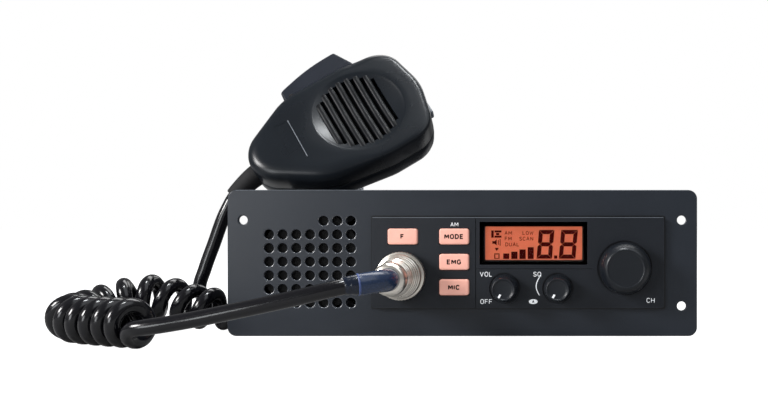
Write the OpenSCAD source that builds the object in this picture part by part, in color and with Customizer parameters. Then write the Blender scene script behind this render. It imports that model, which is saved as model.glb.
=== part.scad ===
// Panel-mounted CB radio with a speaker, and a hand microphone on a curly cord

/* [Front panel] */
// Width of the front panel
panel_w = 188; // [184:1:196]
// Height of the front panel
panel_h = 58.5; // [57:0.5:62]
// Thickness of the panel sheet
panel_t = 2; // [1.5:0.25:3]
// Corner radius of the panel
panel_r = 3.5; // [1:0.5:5]
// Diameter of the corner mounting holes
mount_hole_d = 3.6; // [3:0.1:4.2]
// Spacing of the mounting holes across the panel
mount_pitch_x = 175.5; // [174.5:0.5:177]
// Spacing of the mounting holes up the panel
mount_pitch_z = 34.4; // [32:0.2:37]
// Diameter of the studs welded to the back of the panel
stud_d = 2.5; // [2:0.1:2.8]

/* [Speaker] */
// Speaker axis, left of the middle of the panel
speaker_x = -61; // [-62:0.5:-59]
// Speaker axis, above the bottom edge
speaker_z = 29.8; // [29:0.2:30.4]
// Diameter of the speaker rim
speaker_d = 41; // [39:0.5:41]
// Depth of the speaker basket
speaker_depth = 13; // [11:0.5:16]
// Diameter of the speaker magnet
magnet_d = 26; // [22:1:30]
// Thickness of the speaker magnet
magnet_t = 9; // [6:0.5:12]
// Spacing of the grille holes
grille_pitch = 5.46; // [5:0.1:5.6]
// Diameter of the grille holes
grille_hole_d = 3.9; // [3:0.1:4.4]
// Columns and rows of grille holes
grille_n = 7; // [5:1:7]
// Holes in the shortened top row
grille_top_n = 3; // [1:1:5]

/* [Radio front] */
// Width of the plastic front
bezel_w = 116.4; // [105:0.2:117]
// Height of the plastic front
bezel_h = 36.2; // [35.6:0.2:36.6]
// Middle of the plastic front, right of the panel middle
bezel_x = 22.4; // [22:0.2:22.8]
// Middle of the plastic front, above the bottom edge
bezel_z = 29.5; // [29.2:0.1:29.8]
// How far the plastic front stands out of the panel
bezel_proud = 2; // [1.4:0.2:3]
// Corner radius of the plastic front
bezel_r = 1.5; // [0.5:0.25:3]
// Front wall of the plastic front
bezel_wall = 2.4; // [2:0.1:3]
// Height of the fixing rims above and below the panel cut-out
bezel_rim = 4.4; // [4.2:0.1:4.6]
// Thickness of the fixing rims
bezel_rim_t = 2; // [1.5:0.25:3]
// Depth of the parting grooves
groove_d = 0.5; // [0.3:0.1:0.8]
// Width of the parting grooves
groove_w = 0.5; // [0.3:0.1:0.8]

/* [Display] */
// Width of the display window
window_w = 43; // [42:0.5:44]
// Height of the display window
window_h = 17.2; // [16.6:0.2:17.6]
// Thickness of the display window
window_t = 1.2; // [1:0.1:1.3]
// How deep the window sits in the front
window_sink = 0.6; // [0.3:0.1:0.7]
// Width of the lit part of the display
lcd_w = 38.8; // [37:0.2:39.4]
// Height of the lit part of the display
lcd_h = 13.4; // [12.6:0.2:13.8]
// Thickness of the display glass
lcd_t = 2.8; // [2:0.2:3.4]

/* [Keys] */
// Width of a key
key_w = 11.7; // [11:0.1:12.4]
// Height of a key
key_h = 6.3; // [5.8:0.1:6.8]
// Corner radius of a key
key_r = 0.8; // [0.4:0.1:1.2]
// How far a key stands out of the front
key_proud = 0.8; // [0.5:0.1:1.2]
// Travel of a key
key_travel = 0.8; // [0.5:0.1:1]

/* [Knobs] */
// Base diameter of the volume and squelch knobs
small_knob_d = 11; // [10:0.2:11.6]
// Face diameter of the volume and squelch knobs
small_face_d = 9; // [8:0.2:9.6]
// Length of the volume and squelch knobs
small_knob_h = 10; // [8:0.5:12]
// Base diameter of the channel knob
channel_knob_d = 20.4; // [19:0.2:20.8]
// Face diameter of the channel knob
channel_face_d = 15.6; // [14:0.2:17]
// Length of the channel knob
channel_knob_h = 12; // [10:0.5:14]
// Diameter of the control shafts
shaft_d = 6; // [5:0.2:6.2]
// Thickness of the front circuit board
board_t = 1.6; // [1.2:0.2:2]

/* [Housing] */
// Depth of the sheet housing
body_d = 120; // [110:1:130]
// Width of the sheet housing behind the panel
body_w = 166; // [165:0.5:167]
// Step from the bottom edge of the panel to the housing, also the height of the feet
body_step = 4.75; // [4.5:0.05:4.8]
// Height of the sheet housing
body_h = 49; // [48.5:0.25:52]
// Thickness of the housing sheet
sheet_t = 1.2; // [1:0.1:1.4]
// Diameter of the housing screws
screw_d = 3; // [2.5:0.1:3.2]
// Diameter of the rubber feet
foot_d = 12; // [10:0.5:14]
// Thickness of the heat sink plate
sink_t = 3; // [2:0.5:4]
// Length of the heat sink fins
fin_l = 9; // [6:0.5:12]
// Thickness of a heat sink fin
fin_t = 1.6; // [1.2:0.1:2]
// Number of heat sink fins
fin_n = 13; // [8:1:13]
// Outer diameter of the antenna socket
antenna_d = 15.9; // [15:0.1:16.5]
// Length of the antenna socket
antenna_l = 13; // [11:0.5:15]
// Bore of the external speaker jack
jack_bore_d = 3.6; // [3.5:0.05:3.8]

/* [Microphone plug and socket] */
// Diameter of the socket barrel
socket_d = 15.4; // [14.8:0.1:15.6]
// Bore of the socket barrel
socket_bore_d = 12.8; // [12:0.1:13]
// How far the socket barrel stands out of the front
socket_l = 10.5; // [9:0.5:12]
// Outer diameter of the coupling nut
coupling_d = 19.4; // [19:0.1:20]
// Length of the coupling nut
coupling_l = 14; // [13:0.5:15]
// Diameter of the plug barrel behind its shoulder
barrel_d = 14.6; // [14:0.1:14.8]
// Diameter of the cord clamp at the end of the plug
clamp_d = 13; // [12:0.2:14]
// Distance of the plug end from the plastic front
plug_l = 30; // [28:0.5:32]

/* [Microphone] */
// Length of the microphone body
mic_l = 81.5; // [80:0.5:83]
// Widest half width of the microphone
mic_half_w = 28; // [27:0.25:28.5]
// Thickness of the microphone body
mic_t = 27; // [26:0.5:28]
// Wall of the microphone shells
mic_wall = 2.2; // [1.8:0.1:2.6]
// Depth of the front shell
mic_split = 11; // [10.5:0.25:11.5]
// Turn of the microphone in its holder, degrees
mic_turn = 31; // [29:0.5:33]
// Lean of the microphone holder, degrees
mic_lean = 28; // [27:0.5:29]
// Diameter of the speech dish
dish_d = 40; // [38:0.5:41]
// Depth of the speech dish
dish_depth = 3.2; // [2.5:0.1:3.6]
// Spacing of the speech slots
slot_pitch = 4.2; // [4:0.1:4.4]
// Width of a speech slot
slot_w = 1.8; // [1.2:0.1:2.2]
// Number of speech slots
slot_n = 7; // [5:1:7]
// Width of the press-to-talk lever
ptt_w = 11; // [10:0.25:11.5]
// Press-to-talk pin diameter
ptt_pin_d = 2.4; // [2:0.1:2.6]
// Length of a channel button along the top edge
mic_button_l = 8; // [7:0.2:9]
// Width of a channel button
mic_button_w = 5; // [4:0.2:5.6]
// How far a channel button stands out
mic_button_proud = 1.6; // [1.2:0.1:2]
// Diameter of the hang stud neck
stud_neck_d = 8; // [7:0.2:9]
// Diameter of the hang stud head
stud_head_d = 13; // [12:0.2:14]
// Thickness of the holder sheet
holder_t = 1.5; // [1.2:0.1:1.8]
// Width of the holder
holder_w = 18; // [17:0.5:20]

/* [Cord] */
// Diameter of the cord
cord_d = 5.8; // [5.4:0.1:6]
// Outer diameter of the curls
curl_d = 18.5; // [18:0.1:18.8]
// Closed curls from the plug side
curls_front = 4; // [3:1:4]
// Curls round the bend
curls_bend = 5; // [4:1:6]
// Curls behind the bend, to the microphone side
curls_back = 5; // [3:1:5]
// Pitch round the bend over that of the closed curls
bend_stretch = 1.6; // [1.5:0.05:1.7]
// Pitch behind the bend over that of the closed curls
back_stretch = 1.45; // [1.3:0.05:1.55]

/* [Hidden] */
$fn = 64;
eps = 0.01;

// Gaps between pieces
move_gap = 0.3;
run_gap = 0.05;
seat_gap = 0.1;

// Planes across the depth, front to back
panel_y0 = -panel_t / 2;
panel_y1 = panel_t / 2;
bezel_y0 = panel_y0 - bezel_proud;
bezel_y1 = bezel_y0 + bezel_wall;
rim_y1 = panel_y1 + bezel_rim_t;
back_y = panel_y1 + body_d;

// Heights of the housing
body_z0 = body_step;
body_z1 = body_z0 + body_h;
tray_z0 = body_z0 + sheet_t;
lid_z0 = body_z1 - sheet_t;

// Nuts, washers and studs
nut_h = 2;
nut_d = 2 * stud_d;
washer_d = 7;
washer_t = 0.8;
stud_over = 0.6;
ear_l = 9.5;
ear_h = 24;
ear_stud_pitch = 14;
ear_stud_x = body_w / 2 + ear_l / 2;
speaker_stud_r = speaker_d / 2 + 3;
speaker_stud_angle = 54.5;
bezel_stud_dx = bezel_w / 2 - 8.2;
bezel_stud_dz = bezel_h / 2 + bezel_rim / 2;

// Speaker parts
cloth_t = 0.6;
basket_t = 1;
basket_rim_t = 1.6;
basket_rim_w = 2.4;
basket_y0 = panel_y1 + cloth_t;
basket_y1 = basket_y0 + basket_rim_t;
cone_t = 0.6;
coil_r = 7;
cone_y1 = basket_y0 + speaker_depth - 3;

// Display stack
window_dz = 7.7;
window_z = bezel_z + window_dz;
window_ledge = 1.6;
lcd_dz = -0.3;
lcd_frame = 1.6;

// Front board on bosses of the plastic front
board_stand = 7.6;
board_y0 = bezel_y1 + board_stand;
board_y1 = board_y0 + board_t;
board_margin = 2.2;
boss_d = 4;
boss_dx = bezel_w / 2 - 2.6;
boss_dz = bezel_h / 2 - 2.9;
backlight_frame = 1.2;

// Keys
function_dx = 0.2;
key_pitch = 10.1;
key_middle_dz = 0.3;
key_flange = 1.1;
key_flange_t = 1;
key_stem_d = 4;
switch_h = 1.6;
switch_w = 6;
plunger_h = 0.9;
plunger_d = 3.4;
stem_y1 = board_y0 - switch_h - plunger_h - key_travel - move_gap;

// Controls
knob_dz = -10.2;
volume_dx = -11.4;
squelch_dx = 9.7;
small_z = bezel_z + knob_dz;
channel_z = bezel_z - 2.1;
small_crown = 8;
channel_crown = 4;
ring_gap = 0.8;
ring_depth = 0.8;
knob_lift = 0.4;
knob_y1 = bezel_y0 + ring_depth - knob_lift;
pot_w = 10;
pot_h = 6;
pot_wall = 1;
encoder_w = 13;
shaft_in_knob = 6;
pointer_w = 0.9;
pointer_depth = 0.4;

// Socket and plug
socket_z = bezel_z - 5.2;
socket_flange_d = 18.4;
socket_flange_t = 1.5;
socket_tail = 5;
socket_y0 = bezel_y0 - socket_l;
insert_y0 = bezel_y0 - 3.5;
pin_d = 1.5;
pin_circle_d = 7;
pin_n = 6;
ring_nut_d = 18.8;
ring_nut_t = 2.4;
shoulder_d = socket_d + 1.2;
shoulder_t = 2;
coupling_y1 = bezel_y0 - socket_flange_t - move_gap;
coupling_y0 = coupling_y1 - coupling_l;
shoulder_y1 = socket_y0 - move_gap;
plug_y0 = bezel_y0 - plug_l;
clamp_l = 6;
collet_d = 11;
knurl_n = 24;
knurl_d = 1;
plug_core_y1 = insert_y0 - 0.5;

// Columns of the plastic front, left to right: socket, keys, display and channel knob share the free width
bezel_side = 2;
key_column_w = key_w + 2 * key_flange;
channel_ring_d = channel_knob_d + 2 * ring_gap;
columns_free = bezel_w - 2 * bezel_side - ring_nut_d - key_column_w - window_w - channel_ring_d;
gap_shares = [0.7, 4.35, 3.15, 3.8, 2.7];
share_sum = gap_shares * [1, 1, 1, 1, 1];
function column_gap(i) = columns_free * gap_shares[i] / share_sum;
bezel_x0 = bezel_x - bezel_w / 2 + bezel_side;
socket_x = bezel_x0 + column_gap(0) + ring_nut_d / 2;
key_column_x = socket_x + ring_nut_d / 2 + column_gap(1) + key_column_w / 2;
window_x = key_column_x + key_column_w / 2 + column_gap(2) + window_w / 2;
channel_x = window_x + window_w / 2 + column_gap(3) + channel_ring_d / 2;
volume_x = window_x + volume_dx;
squelch_x = window_x + squelch_dx;

// Housing details
front_gap = seat_gap;
lip_h = 9;
lip_gap = 0.2;
vent_w = 2.4;
vent_l = 28;
vent_n = 9;
vent_pitch = 7;
vent_x = 10;
vent_back = 20;
head_d = 2 * screw_d - 0.4;
head_h = 1.8;
screw_l = 7;
lip_screw_z = body_z1 - lip_h / 2;
lip_screw_ys = [18, 60, body_d - 12];
foot_dx = body_w / 2 - 24;
foot_ys = [26, body_d - 16];
feet_bore_d = 4;
sink_margin = 0.4;
fin_x0 = -body_w / 2 + 18;
fin_pitch = 6.4;
antenna_x = body_w / 2 - 19;
jack_x = body_w / 2 - 59;
inlet_x = body_w / 2 - 41;
rear_z = body_z0 + (body_z1 - body_z0) / 2;
antenna_flange_w = 25;
antenna_flange_t = 1.6;
antenna_bore_d = 9;
antenna_pin_d = 5;
antenna_pin_wall = 0.6;
inlet_w = 15;
inlet_h = 9;
inlet_l = 7;
inlet_wall = 1.4;
inlet_pin_d = 2;
jack_nut_d = 8;
jack_l = 3;
jack_ring_d = jack_nut_d + 2;
tab_w = 10;

// Main board on embossed standoffs of the chassis
main_w = body_w - 14;
main_d = body_d - 28;
main_y0 = panel_y1 + 16;
standoff_h = 5;
standoff_d = 6;
main_z0 = tray_z0 + standoff_h;
main_z1 = main_z0 + board_t;
standoff_inset = 6;
can_w = 44;
can_d = 34;
can_h = 12;
can_wall = 0.6;
can_x = -20;
can_y = main_y0 + 50;

// Microphone outline: circles that the outline wraps round, each [along, across, radius]
mic_nose_r = 15;
mic_corner_r = 14;
mic_waist_u = 35;
mic_waist_r = 26;
mic_belly_u = 56;
mic_circles = [
    [mic_nose_r, 0, mic_nose_r],
    [mic_waist_u, 0, mic_waist_r],
    [mic_belly_u, 0, mic_half_w],
    [mic_l - mic_corner_r, mic_half_w - mic_corner_r - 1, mic_corner_r],
    [mic_l - mic_corner_r, -(mic_half_w - mic_corner_r - 1), mic_corner_r]
];
outline_n = 72;
// Rounding of the shells: depth below the face, and inset of the outline there
mic_front_rings = [[0, 3], [0.4, 1.8], [1.4, 0.7], [3.4, 0], [mic_split, 0]];
mic_back_rings = [
    [mic_split, 0], [mic_t - 9, 0.6], [mic_t - 5, 2.4], [mic_t - 2, 5], [mic_t - 0.6, 7.2], [mic_t, 9]
];
mic_pos = [-body_w / 2 - 15.5, panel_y1 + 37, body_z1 + 18.55];
dish_u = 53.5;
slot_span_d = dish_d - 7;
pad_t = dish_depth + mic_wall;
felt_t = 0.8;
capsule_d = 22;
capsule_h = 6;
lug_d = 7;
mic_boss_us = [[20, 0], [68, 15], [68, -15]];
plate_u = 20;
plate_l = 22;
plate_w = 6;
plate_sink = 0.4;
mic_board_t = 1.6;
mic_board_z = -mic_t + mic_wall + 4;
mic_board_u0 = 26;
mic_board_l = 36;
mic_board_w = 30;
post_d = 5;
chip_l = 10;
chip_w = 6;
chip_h = 3.4;
ptt_u0 = 27;
ptt_u1 = 63.5;
ptt_low = 5.5;
ptt_high = 10.5;
ptt_inside = 4;
ptt_z0 = -mic_split - 3;
ptt_pin_u = ptt_u0 + 3.5;
ptt_pin_v = mic_edge(ptt_pin_u) - 1.8;
ptt_pin_over = 1.5;
ptt_pin_l = ptt_w + 2 * ptt_pin_over;
mic_button_v = 11;
mic_button_z = -mic_split + 3.5;
mic_button_flange = 1;
mic_button_back = 2.6;
stud_u = 42;
stud_gap = 1;
neck_l = holder_t + 2 * stud_gap;
stud_head_t = 2;
rivet_d = 4;
relief_d = 8;
relief_tip_d = 6.6;
relief_l = 5;
relief_z = -mic_split - 1.2;
holder_foot = 18;
holder_top = 6;

// Unit directions of the microphone: along it, across it and out of its face
mic_along = [cos(mic_turn), sin(mic_turn) * sin(mic_lean), sin(mic_turn) * cos(mic_lean)];
mic_out = [0, -cos(mic_lean), sin(mic_lean)];
relief_tip = mic_pos - relief_l * mic_along + relief_z * mic_out;

// Cord routes, chosen by hand: from the plug to the curls, the axis of the curls, and on to the microphone
boot_route = [
    [socket_x, plug_y0, socket_z], [socket_x, plug_y0 - 5, socket_z], [-25.6, -43, 24.2], [-30, -47.5, 23.6],
    [-34, -49, 23.2]
];
plug_route = [
    [-34, -49, 23.2], [-38, -50.5, 22.8], [-44, -51.6, 21.8], [-55, -52.2, 19.4], [-67, -52.6, 16.6],
    [-79, -52.6, 13.8], [-90, -52.6, 11.2]
];
coil_route = [
    [-104, -47.4, 9.3], [-110, -44.4, 9.3], [-124, -37.2, 9.3], [-137, -30, 9.3], [-146, -21.5, 9.3],
    [-149, -10, 9.4], [-148, 1, 10.4], [-142.5, 9.5, 13], [-133, 14.5, 15], [-122, 15.5, 13.4],
    [-112, 14, 10.8], [-103.5, 12.8, 9.5], [-97, 16, 9.3], [-94.5, 23, 9.3]
];
mic_route = [
    [-92.6, 35, 6], [-97, 41, 3.6], [-106, 44, 3.6], [-115.5, 45, 7.4], [-121, 45, 15],
    [-120.5, 45.5, 25], [-116.8, 46, 36], [-112.8, 46, 47], [-109.8, 45.8, 54.4]
];

// Smooth line through chosen points, sampled between each pair
spline_n = 10;
function clamp_i(i, n) = max(0, min(n - 1, i));
function spline_at(p, i, t) =
    let (n = len(p))
    let (a = p[clamp_i(i - 1, n)], b = p[i], c = p[clamp_i(i + 1, n)], d = p[clamp_i(i + 2, n)])
    0.5 * (2 * b + (c - a) * t + (2 * a - 5 * b + 4 * c - d) * t * t + (3 * b - a - 3 * c + d) * t * t * t);
function spline(p) = [
    for (i = [0 : len(p) - 2]) for (k = [0 : spline_n - 1]) spline_at(p, i, k / spline_n),
    p[len(p) - 1]
];
function run_lengths(p) = [
    for (i = 0, s = 0; i < len(p); i = i + 1, s = s + (i < len(p) ? norm(p[i] - p[i - 1]) : 0)) s
];
function unit(v) = v / norm(v);

// Axis of the curls, read by the length along it
coil_axis = spline(coil_route);
coil_runs = run_lengths(coil_axis);
coil_l = coil_runs[len(coil_runs) - 1];
coil_tables = [for (c = [0 : 2]) [for (i = [0 : len(coil_axis) - 1]) [coil_runs[i], coil_axis[i][c]]]];
function coil_at(s) = [for (c = [0 : 2]) lookup(s, coil_tables[c])];

// Curls: the radius grows from nothing over part of a turn and shrinks again at the other end
curl_steps = 8;
curls = curls_front + curls_bend + curls_back;
curl_r = (curl_d - cord_d) / 2;
curl_phase = 150;
curl_entry = 0.7;
function part_of(k, k0, n) = max(0, min(n, k - k0));
function curl_share(k) =
    part_of(k, 0, curls_front) + bend_stretch * part_of(k, curls_front, curls_bend)
    + back_stretch * part_of(k, curls_front + curls_bend, curls_back);
function curl_run(k) = cord_d + (coil_l - 2 * cord_d) * curl_share(k) / curl_share(curls);
function ramp(t) = let (q = max(0, min(1, t))) q * q * (3 - 2 * q);
function curl_point(k) =
    let (s = curl_run(k), ahead = unit(coil_at(s + 0.5) - coil_at(s - 0.5)))
    let (side = unit(cross(ahead, [0, 0, 1])), up = cross(side, ahead))
    let (r = curl_r * min(ramp(k / curl_entry), ramp((curls - k) / curl_entry)), a = curl_phase + 360 * k)
    coil_at(s) + r * (cos(a) * side + sin(a) * up);
curl_line = [
    coil_at(0),
    for (j = [0 : curls * curl_steps]) curl_point(j / curl_steps),
    coil_at(coil_l)
];
curl_gap = min([
    for (i = [0 : len(curl_line) - 1]) for (j = [i + curl_steps / 2 + 1 : 1 : len(curl_line) - 1])
        norm(curl_line[i] - curl_line[j])
]) - cord_d;
echo(curl_gap = curl_gap, coil_l = coil_l, lowest = min([for (p = curl_line) p[2]]) - cord_d / 2);
coil_in = unit(coil_at(cord_d) - coil_at(0));
coil_out = unit(coil_at(coil_l) - coil_at(coil_l - cord_d));
plug_line = concat(plug_route, [coil_at(0) - cord_d * coil_in, coil_at(0)]);
mic_line = concat(
    [coil_at(coil_l), coil_at(coil_l) + cord_d * coil_out], mic_route,
    [relief_tip - cord_d * mic_along, relief_tip]
);

// Round tube along points: rings of corners carried along without twist, joined by triangles
function tangent_at(p, i) = unit(p[min(i + 1, len(p) - 1)] - p[max(i - 1, 0)]);
function carried(v, t) = unit(v - (v * t) * t);
function tube_frames(p) = [
    for (i = 0, v = carried([0.3, 0.1, 1], tangent_at(p, 0)); i < len(p); i = i + 1,
        v = i < len(p) ? carried(v, tangent_at(p, i)) : v) v
];
function tube_points(p, r, n) =
    let (f = tube_frames(p))
    [for (i = [0 : len(p) - 1]) let (w = cross(tangent_at(p, i), f[i]))
        for (k = [0 : n - 1]) p[i] + r * (cos(360 * k / n) * f[i] + sin(360 * k / n) * w)];
function strip_faces(m, n) = [
    for (i = [0 : m - 2]) for (k = [0 : n - 1]) let (a = i * n + k, b = i * n + (k + 1) % n)
        each [[a, a + n, b], [b, a + n, b + n]]
];
function cap_faces(m, n) = [
    for (k = [1 : n - 2]) each [[0, k, k + 1], [(m - 1) * n, (m - 1) * n + k + 1, (m - 1) * n + k]]
];
module tube(p, d, n) {
    polyhedron(tube_points(p, d / 2, n), concat(strip_faces(len(p), n), cap_faces(len(p), n)));
}

// Outline of the microphone at an inset: the farthest circle in each direction carries the point
function reach_of(c, a) = c[0] * cos(a) + c[1] * sin(a) + c[2];
function outline_point(a, inset) =
    let (best = max([for (c = mic_circles) reach_of(c, a)]))
    let (c = [for (q = mic_circles) if (reach_of(q, a) > best - 0.0001) q][0])
    [c[0] + (c[2] - inset) * cos(a), c[1] + (c[2] - inset) * sin(a)];
function outline(inset) = [for (k = [0 : outline_n - 1]) outline_point(360 * (k + 0.5) / outline_n, inset)];
// Half width of the outline at a place along the microphone
function mic_edge(u) =
    lookup(u, [for (k = [outline_n / 2 - 1 : -1 : 0]) outline_point(360 * (k + 0.5) / outline_n, 0)]);
module loft(rings, grow = 0) {
    points = [for (r = rings) for (p = outline(r[1] + grow)) [p[0], p[1], -r[0]]];
    m = len(rings);
    polyhedron(points, concat(
        [for (f = strip_faces(m, outline_n)) [f[2], f[1], f[0]]],
        [for (f = cap_faces(m, outline_n)) [f[2], f[1], f[0]]]
    ));
}
module on_mic() {
    translate(mic_pos) rotate([90 - mic_lean, 0, 0]) rotate([0, 0, mic_turn]) children();
}

// Shared shapes
module rod(x, z, y0, y1, d) {
    translate([x, y0, z]) rotate([-90, 0, 0]) cylinder(h = y1 - y0, d = d);
}
module cone_rod(x, z, y0, y1, d0, d1) {
    translate([x, y0, z]) rotate([-90, 0, 0]) cylinder(h = y1 - y0, d1 = d0, d2 = d1);
}
module ring_rod(x, z, y0, y1, d, bore) {
    difference() {
        rod(x, z, y0, y1, d);
        rod(x, z, y0 - 1, y1 + 1, bore);
    }
}
module hex_nut(x, z, y0) {
    difference() {
        translate([x, y0, z]) rotate([-90, 0, 0]) cylinder(h = nut_h, d = nut_d / cos(30), $fn = 6);
        rod(x, z, y0 - 1, y0 + nut_h + 1, stud_d + 2 * run_gap);
    }
}
module rounded(w, h, r) {
    square([w - 2 * r, h], center = true);
    square([w, h - 2 * r], center = true);
    for (sx = [-1, 1], sy = [-1, 1]) translate([sx * (w / 2 - r), sy * (h / 2 - r)]) circle(r);
}
module slab(x, z, y0, y1, w, h, r = 0) {
    translate([x, y1, z]) rotate([90, 0, 0]) linear_extrude(y1 - y0) {
        if (r > 0) rounded(w, h, r);
        else square([w, h], center = true);
    }
}
module block(x0, x1, y0, y1, z0, z1) {
    translate([x0, y0, z0]) cube([x1 - x0, y1 - y0, z1 - z0]);
}

// Places of the studs on the back of the panel: [x, z, seat of the nut]
ear_studs = [for (sx = [-1, 1], sz = [-1, 1])
    [sx * ear_stud_x, panel_h / 2 + sz * ear_stud_pitch / 2, panel_y1 + sheet_t]];
bezel_studs = [for (sx = [-1, 1], sz = [-1, 1])
    [bezel_x + sx * bezel_stud_dx, bezel_z + sz * bezel_stud_dz, rim_y1]];
speaker_stud_dx = speaker_stud_r * cos(speaker_stud_angle);
speaker_stud_dz = speaker_stud_r * sin(speaker_stud_angle);
speaker_studs = [for (sx = [-1, 1]) for (sz = [-1, 1])
    [speaker_x + sx * speaker_stud_dx, speaker_z + sz * speaker_stud_dz, basket_y1 + washer_t]];
all_studs = concat(ear_studs, bezel_studs, speaker_studs);

// Middles of the four keys
key_places = [
    [socket_x + function_dx, bezel_z + key_middle_dz + key_pitch],
    [key_column_x, bezel_z + key_middle_dz + key_pitch],
    [key_column_x, bezel_z + key_middle_dz],
    [key_column_x, bezel_z + key_middle_dz - key_pitch]
];

// Places of the screws on the tabs at the back, and of the microphone holder on the cover
sink_screws = [for (sx = [-1, 1], z = [body_z0 + tab_w / 2 + 1, body_z1 - sheet_t - tab_w / 2 - 1])
    [sx * (body_w / 2 - tab_w / 2 - 1), z]];
holder_plane = mic_pos - (mic_t + stud_gap + holder_t) * mic_out;
holder_x = mic_pos[0] + stud_u * cos(mic_turn);
holder_rise = (body_z1 - holder_plane[2]) / cos(mic_lean);
holder_foot_y = holder_plane[1] + holder_rise * sin(mic_lean);
holder_screw_y = holder_foot_y + 0.6 * holder_foot;
holder_screw_dx = holder_w / 4;

// Front panel with its cut-outs
module front_panel() {
    half = (grille_n - 1) / 2;
    color("#3b3f47") difference() {
        slab(0, panel_h / 2, panel_y0, panel_y1, panel_w, panel_h, panel_r);
        for (sx = [-1, 1], sz = [-1, 1])
            rod(sx * mount_pitch_x / 2, panel_h / 2 + sz * mount_pitch_z / 2, -panel_t, panel_t,
                mount_hole_d);
        slab(bezel_x, bezel_z, -panel_t, panel_t, bezel_w + 2 * seat_gap, bezel_h + 2 * seat_gap);
        for (i = [0 : grille_n - 1], j = [0 : grille_n - 1])
            if (j < grille_n - 1 || i >= grille_n - grille_top_n)
                rod(speaker_x + (i - half) * grille_pitch, speaker_z + (j - half) * grille_pitch,
                    -panel_t, panel_t, grille_hole_d);
    }
}
module panel_studs() {
    color("silver") for (s = all_studs) rod(s[0], s[1], panel_y1, s[2] + nut_h + stud_over, stud_d);
}
module panel_nuts() {
    color("silver") for (s = all_studs) hex_nut(s[0], s[1], s[2]);
}
module speaker_washers() {
    color("silver") for (s = speaker_studs)
        ring_rod(s[0], s[1], basket_y1, basket_y1 + washer_t, washer_d, stud_d + 2 * seat_gap);
}

// Speaker
module speaker_cloth() {
    color("black") rod(speaker_x, speaker_z, panel_y1, panel_y1 + cloth_t, speaker_d);
}
module turned_on_speaker(points) {
    translate([speaker_x, 0, speaker_z]) rotate([-90, 0, 0]) rotate_extrude() polygon(points);
}
module speaker_basket() {
    rim_r = speaker_d / 2;
    throat_r = coil_r + 0.6;
    foot_r = magnet_d / 2 - 1;
    foot_y = basket_y0 + speaker_depth;
    lip_r = rim_r - basket_rim_w;
    color("dimgray") turned_on_speaker([
        [lip_r, basket_y0], [rim_r, basket_y0], [rim_r, basket_y1], [lip_r + basket_t, basket_y1],
        [foot_r + basket_t, foot_y], [throat_r, foot_y], [throat_r, foot_y - basket_t],
        [foot_r, foot_y - basket_t], [lip_r, basket_y1]
    ]);
}
module speaker_cone() {
    edge_r = speaker_d / 2 - basket_rim_w - seat_gap;
    edge_w = 3;
    roll = 0.9;
    dome = 2;
    color("#222222") turned_on_speaker([
        [0, cone_y1 - dome], [coil_r, cone_y1], [edge_r - edge_w, basket_y0 + 2 * roll],
        [edge_r, basket_y0 + roll], [edge_r, basket_y0 + roll + cone_t],
        [edge_r - edge_w, basket_y0 + 2 * roll + cone_t], [coil_r, cone_y1 + cone_t],
        [0, cone_y1 - dome + cone_t]
    ]);
}
module speaker_magnet() {
    y0 = basket_y0 + speaker_depth;
    color("gray") rod(speaker_x, speaker_z, y0, y0 + magnet_t, magnet_d);
}

// Plastic front of the radio
module front_bezel() {
    cavity_y1 = rim_y1 + 1;
    groove_x = window_x - window_w / 2 - 1.5;
    groove_z = window_z - window_h / 2 - 1.6;
    groove_x1 = window_x + window_w / 2 + 2;
    color("#2e3138") difference() {
        union() {
            slab(bezel_x, bezel_z, bezel_y0, panel_y1, bezel_w, bezel_h, bezel_r);
            slab(bezel_x, bezel_z, panel_y1, rim_y1, bezel_w, bezel_h + 2 * bezel_rim);
            for (sx = [-1, 1], sz = [-1, 1])
                rod(bezel_x + sx * boss_dx, bezel_z + sz * boss_dz, bezel_y1 - eps, board_y0, boss_d);
        }
        difference() {
            slab(bezel_x, bezel_z, bezel_y1, cavity_y1, bezel_w - 2 * bezel_side, bezel_h - 2 * bezel_side);
            for (sx = [-1, 1], sz = [-1, 1])
                rod(bezel_x + sx * boss_dx, bezel_z + sz * boss_dz, bezel_y1 - 1, board_y0, boss_d);
        }
        for (s = bezel_studs) rod(s[0], s[1], panel_y1 - 1, rim_y1 + 1, stud_d + 2 * seat_gap);
        for (k = key_places)
            slab(k[0], k[1], bezel_y0 - 1, bezel_y1 + 1, key_w + 2 * move_gap, key_h + 2 * move_gap, key_r);
        slab(window_x, window_z, bezel_y0 - 1, bezel_y0 + window_sink + window_t, window_w, window_h);
        slab(window_x, window_z + lcd_dz, bezel_y0, bezel_y1 + 1, window_w - 2 * window_ledge, lcd_h + 0.6);
        for (x = [volume_x, squelch_x]) {
            rod(x, small_z, bezel_y0 - 1, bezel_y0 + ring_depth, small_knob_d + 2 * ring_gap);
            rod(x, small_z, bezel_y0, bezel_y1 + 1, shaft_d + 2 * move_gap);
        }
        rod(channel_x, channel_z, bezel_y0 - 1, bezel_y0 + ring_depth, channel_knob_d + 2 * ring_gap);
        rod(channel_x, channel_z, bezel_y0, bezel_y1 + 1, shaft_d + 2 * move_gap);
        rod(socket_x, socket_z, bezel_y0 - 1, bezel_y1 + 1, socket_d + 2 * seat_gap);
        slab(groove_x, bezel_z, bezel_y0 - 1, bezel_y0 + groove_d, groove_w, bezel_h + 1);
        block(groove_x, groove_x1, bezel_y0 - 1, bezel_y0 + groove_d, groove_z - groove_w / 2,
            groove_z + groove_w / 2);
    }
}
module display_window() {
    color("#30100a", 0.6)
        slab(window_x, window_z, bezel_y0 + window_sink, bezel_y0 + window_sink + window_t,
            window_w - 2 * seat_gap, window_h - 2 * seat_gap);
}
module lcd_panel() {
    color("#f06e46") slab(window_x, window_z + lcd_dz, bezel_y1, bezel_y1 + lcd_t, lcd_w + 2 * lcd_frame,
        lcd_h + 2 * lcd_frame);
}
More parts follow.
